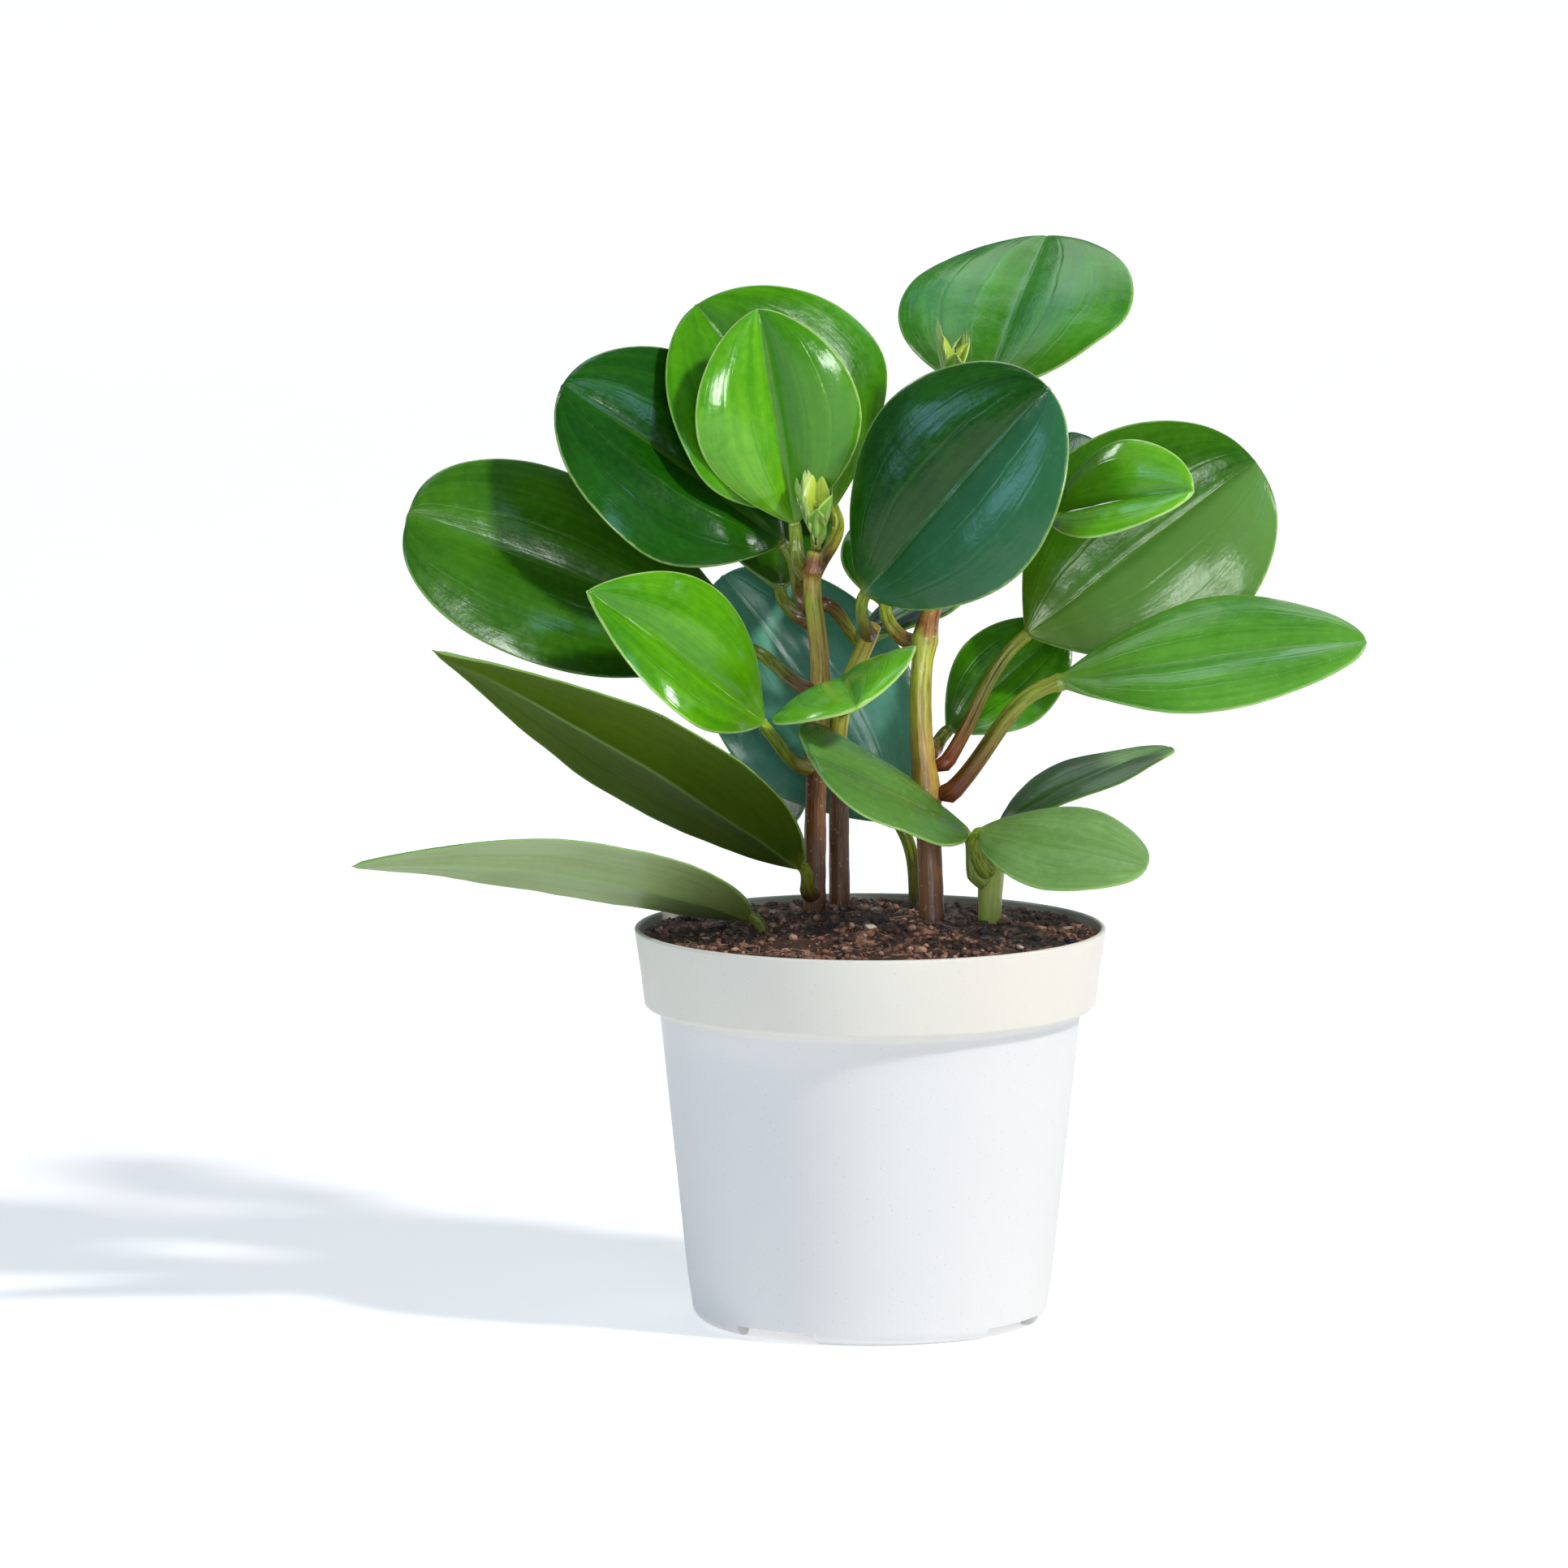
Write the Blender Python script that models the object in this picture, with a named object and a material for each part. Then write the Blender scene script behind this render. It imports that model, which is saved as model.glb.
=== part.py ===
"""Potted peperomia: a nursery pot, its soil, three stems, a side shoot, growing tips and leaves.

Metres, +Z up. The origin is the centre of the pot's underside. +X is to the right of the plant's
showing side and -Y is towards the viewer.
"""

from math import cos, pi, radians, sin

import bmesh
import bpy
from mathutils import Vector

# Pot
RIM_RADIUS = 0.061
COLLAR_FLARE = 0.0028
COLLAR_STEP = 0.0014
BODY_TAPER = 0.0107
COLLAR_HEIGHT = 0.0205
LIP_WIDTH = 0.0005
LIP_HEIGHT = 0.003
FOOT_ROUNDING = 0.004
POT_HEIGHT = 0.1025
POT_WALL = 0.0014
FLOOR_LIFT = 0.004
FLOOR_THICKNESS = 0.0016
PAD_RADIUS = 0.012
NOTCH_COUNT = 4
NOTCH_SPAN = radians(30)
NOTCH_HEIGHT = 0.003
NOTCH_TURN = radians(236.25)
DRAIN_COUNT = 6
DRAIN_RADIUS = 0.0035
DRAIN_INSET = 0.0161
POT_SEGMENTS = 48

# Soil
SOIL_BELOW_RIM = 0.002
SOIL_HEAP = 0.0045
SOIL_ROUGHNESS = 0.0012
SOIL_RINGS = 7
CLEARANCE = 0.0003
ROOT_CLEARANCE = 0.00045

# Stems and leaves
ROOTED_DEPTH = 0.024
STEM_SIDES = 10
NODE_SWELL = 1.25
NODE_LENGTH = 0.006
LEAF_SIDES = 8
BLADE_STATIONS = 11
PETIOLE_STATIONS = 4
BLADE_THICKNESS = 0.0015

COLLAR_FOOT_RADIUS = RIM_RADIUS - COLLAR_FLARE
BODY_TOP_RADIUS = COLLAR_FOOT_RADIUS - COLLAR_STEP
BODY_FOOT_RADIUS = BODY_TOP_RADIUS - BODY_TAPER
DRAIN_CIRCLE_RADIUS = BODY_FOOT_RADIUS - DRAIN_INSET
SOIL_TOP = POT_HEIGHT - SOIL_BELOW_RIM


def clear_scene():
    for obj in list(bpy.data.objects):
        bpy.data.objects.remove(obj, do_unlink=True)


def material(name, colour, roughness, metallic=0.0):
    made = bpy.data.materials.new(name)
    made.use_nodes = True
    shader = made.node_tree.nodes["Principled BSDF"]
    shader.inputs["Base Color"].default_value = (*colour, 1.0)
    shader.inputs["Roughness"].default_value = roughness
    shader.inputs["Metallic"].default_value = metallic
    made.diffuse_color = (*colour, 1.0)
    return made


def mesh_object(name, points, faces, finish=None):
    mesh = bpy.data.meshes.new(name)
    mesh.from_pydata([tuple(point) for point in points], [], faces)
    work = bmesh.new()
    work.from_mesh(mesh)
    bmesh.ops.recalc_face_normals(work, faces=work.faces)
    work.to_mesh(mesh)
    work.free()
    mesh.shade_smooth()
    obj = bpy.data.objects.new(name, mesh)
    bpy.context.collection.objects.link(obj)
    if finish:
        mesh.materials.append(finish)
    return obj


def loft(name, rings, finish=None):
    """One closed body through rings of points, each end closed by a fan onto the ring's middle."""
    sides = len(rings[0])
    points = [point for ring in rings for point in ring]
    faces = []
    for row in range(len(rings) - 1):
        for side in range(sides):
            here = row * sides + side
            after = row * sides + (side + 1) % sides
            faces.append((here, after, after + sides, here + sides))
    for row in (0, len(rings) - 1):
        middle = sum((Vector(point) for point in rings[row]), Vector()) / sides
        points.append(middle)
        for side in range(sides):
            faces.append((row * sides + side, row * sides + (side + 1) % sides, len(points) - 1))
    return mesh_object(name, points, faces, finish)


def spun(name, profile, segments, finish=None):
    """A closed body from (radius, height) points that start and end on the axis."""
    rings = []
    for radius, height in profile[1:-1]:
        turns = [2 * pi * step / segments for step in range(segments)]
        rings.append([Vector((radius * cos(turn), radius * sin(turn), height)) for turn in turns])
    points = [point for ring in rings for point in ring]
    faces = []
    for row in range(len(rings) - 1):
        for side in range(segments):
            here = row * segments + side
            after = row * segments + (side + 1) % segments
            faces.append((here, after, after + segments, here + segments))
    for row, height in ((0, profile[0][1]), (len(rings) - 1, profile[-1][1])):
        points.append(Vector((0, 0, height)))
        for side in range(segments):
            faces.append((row * segments + side, row * segments + (side + 1) % segments, len(points) - 1))
    return mesh_object(name, points, faces, finish)


def cut(obj, cutter):
    cutter.hide_render = True
    cutter.display_type = "WIRE"
    boolean = obj.modifiers.new("cut", "BOOLEAN")
    boolean.operation = "DIFFERENCE"
    boolean.solver = "EXACT"
    boolean.object = cutter


def body_radius(height):
    """The pot's outer radius below the collar."""
    return BODY_FOOT_RADIUS + (BODY_TOP_RADIUS - BODY_FOOT_RADIUS) * height / POT_HEIGHT


def inner_radius(height):
    """The radius of the space inside the pot."""
    collar_foot = POT_HEIGHT - COLLAR_HEIGHT
    if height <= collar_foot:
        return body_radius(height) - POT_WALL
    share = (height - collar_foot) / COLLAR_HEIGHT
    return body_radius(collar_foot) - POT_WALL + share * (RIM_RADIUS - POT_WALL
                                                          - body_radius(collar_foot) + POT_WALL)


def make_pot(finish):
    collar_foot = POT_HEIGHT - COLLAR_HEIGHT
    floor_top = FLOOR_LIFT + FLOOR_THICKNESS
    rounding = [(body_radius(0) - FOOT_ROUNDING * (1 - sin(turn)), FOOT_ROUNDING * (1 - cos(turn)))
                for turn in (0, pi / 8, pi / 4, 3 * pi / 8, pi / 2)]
    outside = [
        *rounding,
        (body_radius(collar_foot - LIP_HEIGHT), collar_foot - LIP_HEIGHT / 2),
        (COLLAR_FOOT_RADIUS, collar_foot),
        (COLLAR_FOOT_RADIUS + LIP_WIDTH, collar_foot + LIP_HEIGHT / 2),
        (COLLAR_FOOT_RADIUS + LIP_WIDTH / 3, collar_foot + LIP_HEIGHT),
        (RIM_RADIUS - LIP_WIDTH / 2, POT_HEIGHT - 2 * LIP_WIDTH),
        (RIM_RADIUS, POT_HEIGHT - LIP_WIDTH),
        (RIM_RADIUS - POT_WALL / 2, POT_HEIGHT),
        (RIM_RADIUS - POT_WALL, POT_HEIGHT - POT_WALL / 2),
    ]
    inside = [
        (inner_radius(collar_foot), collar_foot),
        (inner_radius(floor_top) - FOOT_ROUNDING / 2, floor_top),
        (0, floor_top),
    ]
    under = [
        (0, 0),
        (PAD_RADIUS, 0),
        (PAD_RADIUS + FLOOR_LIFT / 2, FLOOR_LIFT),
        (body_radius(0) - FOOT_ROUNDING - POT_WALL - FLOOR_LIFT / 2, FLOOR_LIFT),
        (body_radius(0) - FOOT_ROUNDING - POT_WALL, 0),
    ]
    pot = spun("pot", under + outside + inside, POT_SEGMENTS, finish)

    inside_foot = body_radius(0) - FOOT_ROUNDING - POT_WALL - FLOOR_LIFT
    reach = RIM_RADIUS
    for count in range(NOTCH_COUNT):
        turn = NOTCH_TURN + 2 * pi * count / NOTCH_COUNT
        notch = wedge(f"notch_cutter_{count}", inside_foot, reach, turn, NOTCH_SPAN)
        cut(pot, notch)
    for count in range(DRAIN_COUNT):
        turn = pi / POT_SEGMENTS + 2 * pi * count / DRAIN_COUNT
        drain = spun(f"drain_cutter_{count}", [(0, -FLOOR_LIFT), (DRAIN_RADIUS, -FLOOR_LIFT),
                                               (DRAIN_RADIUS, 3 * FLOOR_LIFT), (0, 3 * FLOOR_LIFT)], 12)
        drain.location = (DRAIN_CIRCLE_RADIUS * cos(turn), DRAIN_CIRCLE_RADIUS * sin(turn), 0)
        cut(pot, drain)
    return pot


def wedge(name, near, far, turn, span):
    """A block between two radii, for one drainage notch in the foot."""
    ring = []
    for height in (-NOTCH_HEIGHT, NOTCH_HEIGHT):
        for radius, side in ((near, -1), (far, -1), (far, 1), (near, 1)):
            angle = turn + side * span / 2
            ring.append(Vector((radius * cos(angle), radius * sin(angle), height)))
    faces = [(0, 1, 2, 3), (4, 5, 6, 7), (0, 1, 5, 4), (1, 2, 6, 5), (2, 3, 7, 6), (3, 0, 4, 7)]
    return mesh_object(name, ring, faces)


def soil_height(x, y):
    """The soil's surface: a low heap about the stems, with small lumps, level with itself at the edge."""
    edge = inner_radius(SOIL_TOP) - CLEARANCE
    share = min(1.0, (x * x + y * y) ** 0.5 / edge)
    heap = SOIL_HEAP * cos(share * pi / 2) ** 1.3
    lumps = sin(310 * x + 1.0) * cos(270 * y) + 0.6 * sin(520 * (x + y)) * cos(470 * (x - y) + 2.0)
    return SOIL_TOP + heap + SOIL_ROUGHNESS * lumps * (1 - share ** 4)


def make_soil(finish):
    floor_top = FLOOR_LIFT + FLOOR_THICKNESS + CLEARANCE
    low = (inner_radius(floor_top) - FOOT_ROUNDING / 2 - CLEARANCE, floor_top)
    collar_foot = POT_HEIGHT - COLLAR_HEIGHT
    corner = (inner_radius(collar_foot) - ROOT_CLEARANCE, collar_foot)
    edge = (inner_radius(SOIL_TOP) - ROOT_CLEARANCE, SOIL_TOP)
    profile = [(0, floor_top), low, corner, edge]
    for ring in range(SOIL_RINGS - 1, 0, -1):
        profile.append((edge[0] * ring / SOIL_RINGS, SOIL_TOP))
    profile.append((0, SOIL_TOP))
    soil = spun("soil", profile, POT_SEGMENTS, finish)
    for vertex in soil.data.vertices:
        if vertex.co.z > SOIL_TOP - CLEARANCE:
            vertex.co.z = soil_height(vertex.co.x, vertex.co.y)
    return soil


def curve_point(points, share):
    """A Catmull-Rom curve through points, share 0 to 1 from first to last."""
    spans = len(points) - 1
    place = min(max(share, 0.0), 1.0) * spans
    step = min(int(place), spans - 1)
    t = place - step
    p1 = points[step]
    p2 = points[step + 1]
    p0 = points[step - 1] if step > 0 else p1 * 2 - p2
    p3 = points[step + 2] if step + 2 <= spans else p2 * 2 - p1
    return 0.5 * ((2 * p1) + (p2 - p0) * t + (2 * p0 - 5 * p1 + 4 * p2 - p3) * t * t
                  + (3 * p1 - p0 - 3 * p2 + p3) * t ** 3)


def ring_about(centre, along, across, wide, deep, sides):
    """An ellipse of points about centre, in the plane square to along."""
    across = (across - along * across.dot(along)).normalized()
    up = along.cross(across).normalized()
    turns = [2 * pi * side / sides for side in range(sides)]
    return [centre + across * (wide * cos(turn)) + up * (deep * sin(turn)) for turn in turns]


# Each stem: foot (x, y) on the soil, then (x, y, height above the soil) on the way up, its radii and
# the shares of its length at which it has a node.
STEMS = {
    "stem_left": {
        "foot": (-0.0145, 0.014), "way": [(-0.0140, 0.013, 0.030), (-0.0128, 0.012, 0.062),
                                          (-0.0148, 0.010, 0.084), (-0.0142, 0.009, 0.094)],
        "thick": 0.0030, "thin": 0.0021, "nodes": (0.35, 0.86)},
    "stem_middle": {
        "foot": (-0.0075, 0.019), "way": [(-0.0080, 0.018, 0.030), (-0.0074, 0.014, 0.052),
                                          (0.0008, 0.008, 0.075)],
        "thick": 0.0028, "thin": 0.0022, "nodes": (0.45, 0.72)},
    "stem_right": {
        "foot": (0.0168, -0.004), "way": [(0.0150, 0.000, 0.025), (0.0130, 0.004, 0.055),
                                          (0.0150, 0.008, 0.076), (0.0215, 0.014, 0.100),
                                          (0.0225, 0.018, 0.133)],
        "thick": 0.0034, "thin": 0.0022, "nodes": (0.24, 0.56, 0.78)},
    "side_shoot": {
        "foot": (0.0308, -0.002), "way": [(0.0312, -0.003, 0.008), (0.0318, -0.004, 0.017)],
        "thick": 0.0024, "thin": 0.0040, "nodes": ()},
}


def stem_points(name):
    stem = STEMS[name]
    x, y = stem["foot"]
    ground = SOIL_TOP + SOIL_HEAP
    buried = Vector((x, y, ground - ROOTED_DEPTH))
    return [buried] + [Vector((px, py, ground + rise)) for px, py, rise in stem["way"]]


def stem_at(name, height):
    """(centre, direction, radius) where the stem passes a height above the soil."""
    points = stem_points(name)
    ground = SOIL_TOP + SOIL_HEAP
    low, high = 0.0, 1.0
    for _ in range(40):
        middle = (low + high) / 2
        if curve_point(points, middle).z < ground + height:
            low = middle
        else:
            high = middle
    centre = curve_point(points, low)
    ahead = curve_point(points, min(low + 0.02, 1.0)) - curve_point(points, max(low - 0.02, 0.0))
    return centre, ahead.normalized(), stem_radius(STEMS[name], low)


def stem_radius(stem, share):
    radius = stem["thick"] + (stem["thin"] - stem["thick"]) * share
    for node in stem["nodes"]:
        near = abs(share - node) / (NODE_LENGTH / 0.1)
        if near < 1:
            radius *= 1 + (NODE_SWELL - 1) * (0.5 + 0.5 * cos(pi * near))
    return radius


def make_stem(name, finish, extra=0.0):
    """The stem, or with extra the cutter that makes its hole in the soil."""
    points = stem_points(name)
    rows = 6 + 2 * len(points)
    rings = []
    for row in range(rows + 1):
        share = row / rows
        centre = curve_point(points, share)
        along = curve_point(points, min(share + 0.02, 1.0)) - curve_point(points, max(share - 0.02, 0.0))
        along.normalize()
        radius = stem_radius(STEMS[name], share) + extra
        if row == 0:
            centre = centre - along * extra
        if row == rows and not extra:
            radius *= 0.75
        rings.append(ring_about(centre, along, Vector((1, 0, 0)), radius, radius, STEM_SIDES))
    return loft(name if not extra else f"{name}_socket_cutter", rings, finish)


# Each leaf: the stem and height above the soil that it grows from; its petiole's length, heading
# (degrees, 0 to the right, 90 away from the viewer) and rise; its blade's length and width in mm,
# heading and rise of the line from base to tip, roll about that line, bend (droop along it), fold of
# the halves about the midrib, curl of the halves, where along it is widest, how sharp its tip and
# base are (less is rounder), and how far the petiole springs out sideways before it turns.
LEAVES = {}


def leaf(name, stem, height, petiole, blade, width, roll=0, bend=10, fold=8, curl=0.05, widest=0.5,
         tip=0.5, base=0.85, sweep=0, twist=0, shade="leaf_mature", neck=1.7, spring=0.7):
    LEAVES[name] = {
        "stem": stem, "height": height / 1000, "petiole": petiole, "blade": blade,
        "width": width / 1000, "roll": radians(roll), "bend": radians(bend), "fold": radians(fold),
        "curl": curl, "widest": widest, "tip": tip, "base": base, "sweep": radians(sweep),
        "twist": radians(twist),
        "shade": shade, "neck": neck / 1000, "spring": spring,
    }


def heading(turn, rise):
    turn = radians(turn)
    rise = radians(rise)
    return Vector((cos(turn) * cos(rise), sin(turn) * cos(rise), sin(rise)))


def blade_half_width(spec, share):
    """Half the blade's width a share of the way from its base to its tip: a rounded, egg-like outline."""
    if share < spec["widest"]:
        full = sin(pi / 2 * share / spec["widest"]) ** spec["base"]
    else:
        full = max(0.0, cos(pi / 2 * (share - spec["widest"]) / (1 - spec["widest"]))) ** spec["tip"]
    return spec["width"] / 2 * full


def blade_line(spec, base):
    """(centre, along, side, normal, share) at each station of the midrib, bent and swept evenly."""
    length, turn, rise = spec["blade"]
    chord = heading(turn, rise)
    side = Vector((-sin(radians(turn)), cos(radians(turn)), 0))
    normal = chord.cross(side)
    side, normal = (side * cos(spec["roll"]) + normal * sin(spec["roll"]),
                    normal * cos(spec["roll"]) - side * sin(spec["roll"]))
    line = []
    centre = base.copy()
    steps = 8 * (BLADE_STATIONS - 1)
    reached = 0.0
    for station in range(BLADE_STATIONS):
        share = 0.5 - 0.5 * cos(pi * station / (BLADE_STATIONS - 1))
        while reached < share - 1e-9:
            step = min(1 / steps, share - reached)
            lift = spec["bend"] * (0.5 - reached - step / 2)
            swing = spec["sweep"] * (0.5 - reached - step / 2)
            along = chord * cos(lift) * cos(swing) + normal * sin(lift) + side * sin(swing) * cos(lift)
            centre = centre + along.normalized() * (length / 1000 * step)
            reached += step
        lift = spec["bend"] * (0.5 - share)
        swing = spec["sweep"] * (0.5 - share)
        along = chord * cos(lift) * cos(swing) + normal * sin(lift) + side * sin(swing) * cos(lift)
        along.normalize()
        across = (side - along * side.dot(along)).normalized()
        up = along.cross(across)
        turned = spec["twist"] * (share - 0.5)
        line.append((centre.copy(), along, across * cos(turned) + up * sin(turned),
                     up * cos(turned) - across * sin(turned), share))
    return line


def leaf_root(spec):
    """(point, outward direction) where the petiole starts: on a stem's side or end, or down in the soil."""
    _, turn, _ = spec["petiole"]
    outward = heading(turn, 0)
    if isinstance(spec["stem"], tuple):
        x, y = spec["stem"]
        return Vector((x, y, soil_height(x, y) - spec["height"])), Vector((0, 0, 1))
    if spec["height"] <= 0:
        points = stem_points(spec["stem"])
        along = (points[-1] - curve_point(points, 0.98)).normalized()
        return points[-1] + along * CLEARANCE, along
    centre, along, _ = stem_at(spec["stem"], spec["height"])
    outward = (outward - along * outward.dot(along)).normalized()
    reach = max(stem_at(spec["stem"], spec["height"] + step * spec["neck"])[2] for step in (-2, -1, 0, 1, 2))
    return centre + outward * (reach + ROOT_CLEARANCE), outward


def leaf_rings(spec, extra=0.0):
    root, outward = leaf_root(spec)
    length, turn, rise = spec["petiole"]
    base = root + heading(turn, rise) * (length / 1000)
    line = blade_line(spec, base)
    neck = spec["neck"] + extra
    leaving = outward * spec["spring"] + heading(turn, rise) * (1.3 - spec["spring"])
    arriving = line[0][1]
    across = line[0][2]
    rings = []
    for row in range(PETIOLE_STATIONS):
        t = row / PETIOLE_STATIONS
        centre = (root * (2 * t ** 3 - 3 * t ** 2 + 1) + leaving * (length / 1000) * (t ** 3 - 2 * t ** 2 + t)
                  + base * (3 * t ** 2 - 2 * t ** 3) + arriving * (length / 1000) * (t ** 3 - t ** 2))
        along = (root * (6 * t ** 2 - 6 * t) + leaving * (length / 1000) * (3 * t ** 2 - 4 * t + 1)
                 + base * (6 * t - 6 * t ** 2) + arriving * (length / 1000) * (3 * t ** 2 - 2 * t))
        along = outward if row == 0 else along.normalized()
        rings.append(ring_about(centre, along, across, neck * 1.1, neck, LEAF_SIDES))
    for centre, along, side, normal, share in line:
        half = max(blade_half_width(spec, share), 0.0004, neck * (1 - 6 * share))
        thick = max(BLADE_THICKNESS / 2, neck * (1 - 5 * share)) * min(1.0, half / 0.002)
        ring = []
        for corner in range(LEAF_SIDES):
            angle = 2 * pi * corner / LEAF_SIDES
            across_share = cos(angle)
            lift = half * (abs(across_share) * sin(spec["fold"]) - spec["curl"] * across_share ** 2)
            ring.append(centre + side * (half * across_share * cos(spec["fold"]))
                        + normal * (thick * sin(angle) + lift))
        rings.append(ring)
    return rings


def make_leaf(name, spec, finishes):
    return loft(name, leaf_rings(spec), finishes[spec["shade"]])


def grow_leaves():
    """Every leaf, from the tops of the stems down, then the ones at the back."""
    leaf("leaf_top_right", "stem_right", 127, (12, 50, 39), (75, 75, 27), 62, bend=14, tip=0.46, base=0.6)
    leaf("leaf_front_dark", "stem_middle", 73, (13, -96, 62), (74, -19, 48), 60, roll=75, widest=0.52,
         tip=0.46, base=0.65)
    leaf("leaf_front_bright", "stem_left", 87, (14, 130, 72), (57, 196, 80), 46, roll=-101, fold=20,
         shade="leaf_young", tip=0.6)
    leaf("leaf_folded_top", "stem_left", 89, (22, 76, 38), (64, 176, 56), 68, roll=-62, fold=24,
         widest=0.46)
    leaf("leaf_upper_left", "stem_left", 79, (19, 128, 56), (72, -169, 36), 62, roll=-56, tip=0.48)
    leaf("leaf_far_left", "stem_left", 57, (20, 150, 28), (98, -170, 22), 56, roll=-60, widest=0.6,
         tip=0.36)
    leaf("leaf_small_left", "stem_left", 37, (20, -140, 40), (64, -150, 36), 43, roll=-66, fold=22,
         shade="leaf_young", tip=0.8)
    leaf("leaf_small_centre", "stem_middle", 53, (11, -86, 52), (38, -85, -4), 42, roll=27, bend=25,
         shade="leaf_young")
    leaf("leaf_low_front_left", "side_shoot", 10, (14, -151, 72), (53, -148, 26), 43, roll=-27, widest=0.66,
         tip=0.38)
    leaf("leaf_low_front_right", "side_shoot", 13, (12, -108, 64), (47, -25, -8), 30, roll=34)
    leaf("leaf_low_right_back", "side_shoot", 13, (12, 80, 48), (56, 33, 17), 32, roll=0, fold=10)
    leaf("leaf_centre_back", (0.0123, 0.026), 10, (34, 126, 76), (79, 172, 54), 56, roll=-60)
    leaf("leaf_left_underside", "stem_left", 4, (11, -109, 53), (117, -160, 31), 52, roll=25,
         widest=0.34, tip=0.95, base=0.65)
    leaf("leaf_lowest_left", (-0.0262, -0.012), 8, (12, -166, 66), (107, -165, 9), 46, roll=24, bend=24,
         widest=0.32, tip=0.8, base=0.55)
    leaf("leaf_right_upper", "stem_right", 38, (42, 20, 55.5), (75, 11, 36), 62, roll=70, tip=0.42,
         spring=0.1)
    leaf("leaf_small_right", "stem_right", 104, (25, -31, 0), (44, -31, 12), 33, roll=50, fold=25,
         shade="leaf_young", tip=0.45)
    leaf("leaf_far_right", "stem_right", 31, (43.5, -11, 46), (80, -4, 8), 42, roll=37, tip=0.55,
         neck=2.3, spring=0.1)
    leaf("leaf_right_shaded", "stem_right", 42, (10, 62, 27), (42, 25, 37), 28, roll=60)

    leaf("leaf_back_centre", "stem_left", 80, (18, 34, -38), (36, 40, 20), 26)
    leaf("leaf_back_high", "stem_left", 75, (14, 130, 32), (46, 98, 45), 32)
    leaf("leaf_back_middle", "stem_right", 70, (12, 150, 50), (36, 84, 40), 26)
    leaf("leaf_back_right", "stem_right", 88, (14, 55, 20), (60, 62, 26), 42)
    leaf("leaf_back_left", "stem_left", 14, (14, 115, 20), (60, 122, 13), 40)

    leaf("tip_left", "stem_left", 0, (3, 90, 85), (14, 100, 84), 8, fold=35, shade="leaf_young", neck=1.4)
    leaf("tip_right", "stem_right", 0, (4, 120, 70), (12, 160, 72), 7, fold=35, shade="leaf_young", neck=1.4)


def main():
    clear_scene()
    finishes = {
        "pot_plastic": material("pot_plastic", (0.86, 0.84, 0.78), 0.42),
        "soil": material("soil", (0.085, 0.035, 0.02), 0.95),
        "stem": material("stem", (0.22, 0.16, 0.03), 0.45),
        "leaf_mature": material("leaf_mature", (0.025, 0.11, 0.012), 0.22),
        "leaf_young": material("leaf_young", (0.10, 0.36, 0.02), 0.22),
    }
    make_pot(finishes["pot_plastic"])
    soil = make_soil(finishes["soil"])
    for name in STEMS:
        make_stem(name, finishes["stem"])
        cut(soil, make_stem(name, None, ROOT_CLEARANCE))
    grow_leaves()
    for name, spec in LEAVES.items():
        make_leaf(name, spec, finishes)
        if isinstance(spec["stem"], tuple):
            rings = leaf_rings(spec, ROOT_CLEARANCE)
            rings[0] = [point - Vector((0, 0, CLEARANCE)) for point in rings[0]]
            cut(soil, loft(f"{name}_socket_cutter", rings[:PETIOLE_STATIONS]))


main()
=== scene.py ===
import random
from math import cos, exp, hypot, pi, radians, sin

import bmesh
import bpy
from mathutils import Matrix, Vector, noise


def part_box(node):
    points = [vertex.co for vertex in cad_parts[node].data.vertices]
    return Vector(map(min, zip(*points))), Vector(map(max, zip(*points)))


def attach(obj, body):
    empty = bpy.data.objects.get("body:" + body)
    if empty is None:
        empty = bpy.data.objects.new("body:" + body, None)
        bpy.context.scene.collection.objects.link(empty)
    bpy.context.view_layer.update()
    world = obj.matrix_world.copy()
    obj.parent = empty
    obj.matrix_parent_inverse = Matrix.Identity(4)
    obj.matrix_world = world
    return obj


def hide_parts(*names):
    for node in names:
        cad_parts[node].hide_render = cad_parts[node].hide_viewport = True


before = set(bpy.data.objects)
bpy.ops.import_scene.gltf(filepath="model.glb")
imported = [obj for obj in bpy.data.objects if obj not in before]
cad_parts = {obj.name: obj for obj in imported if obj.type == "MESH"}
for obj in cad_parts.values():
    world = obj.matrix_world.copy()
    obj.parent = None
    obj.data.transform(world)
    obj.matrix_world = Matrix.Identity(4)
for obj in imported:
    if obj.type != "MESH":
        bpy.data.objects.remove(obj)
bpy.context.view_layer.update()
millimetre = 0.001


def finishPiece(name, mesh, standsFor):
    # hands a finished mesh to the frame: it rides on the plant's one body
    piece = bpy.data.objects.new(name, mesh)
    bpy.context.scene.collection.objects.link(piece)
    for nodeName in standsFor:
        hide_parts(nodeName)
    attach(piece, "root")


def meshFrom(work, name, materials):
    mesh = bpy.data.meshes.new(name)
    work.to_mesh(mesh)
    work.free()
    mesh.shade_smooth()
    for material in materials:
        mesh.materials.append(material)
    return mesh


def moveOnto(work, nodeName):
    # centres a new shape on the box of the node that it stands for
    low = Vector(min(v.co[axis] for v in work.verts) for axis in range(3))
    high = Vector(max(v.co[axis] for v in work.verts) for axis in range(3))
    nodeLow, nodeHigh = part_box(nodeName)
    shift = (Vector(nodeLow) + Vector(nodeHigh)) / 2 - (low + high) / 2
    bmesh.ops.translate(work, verts=work.verts, vec=shift)


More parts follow.
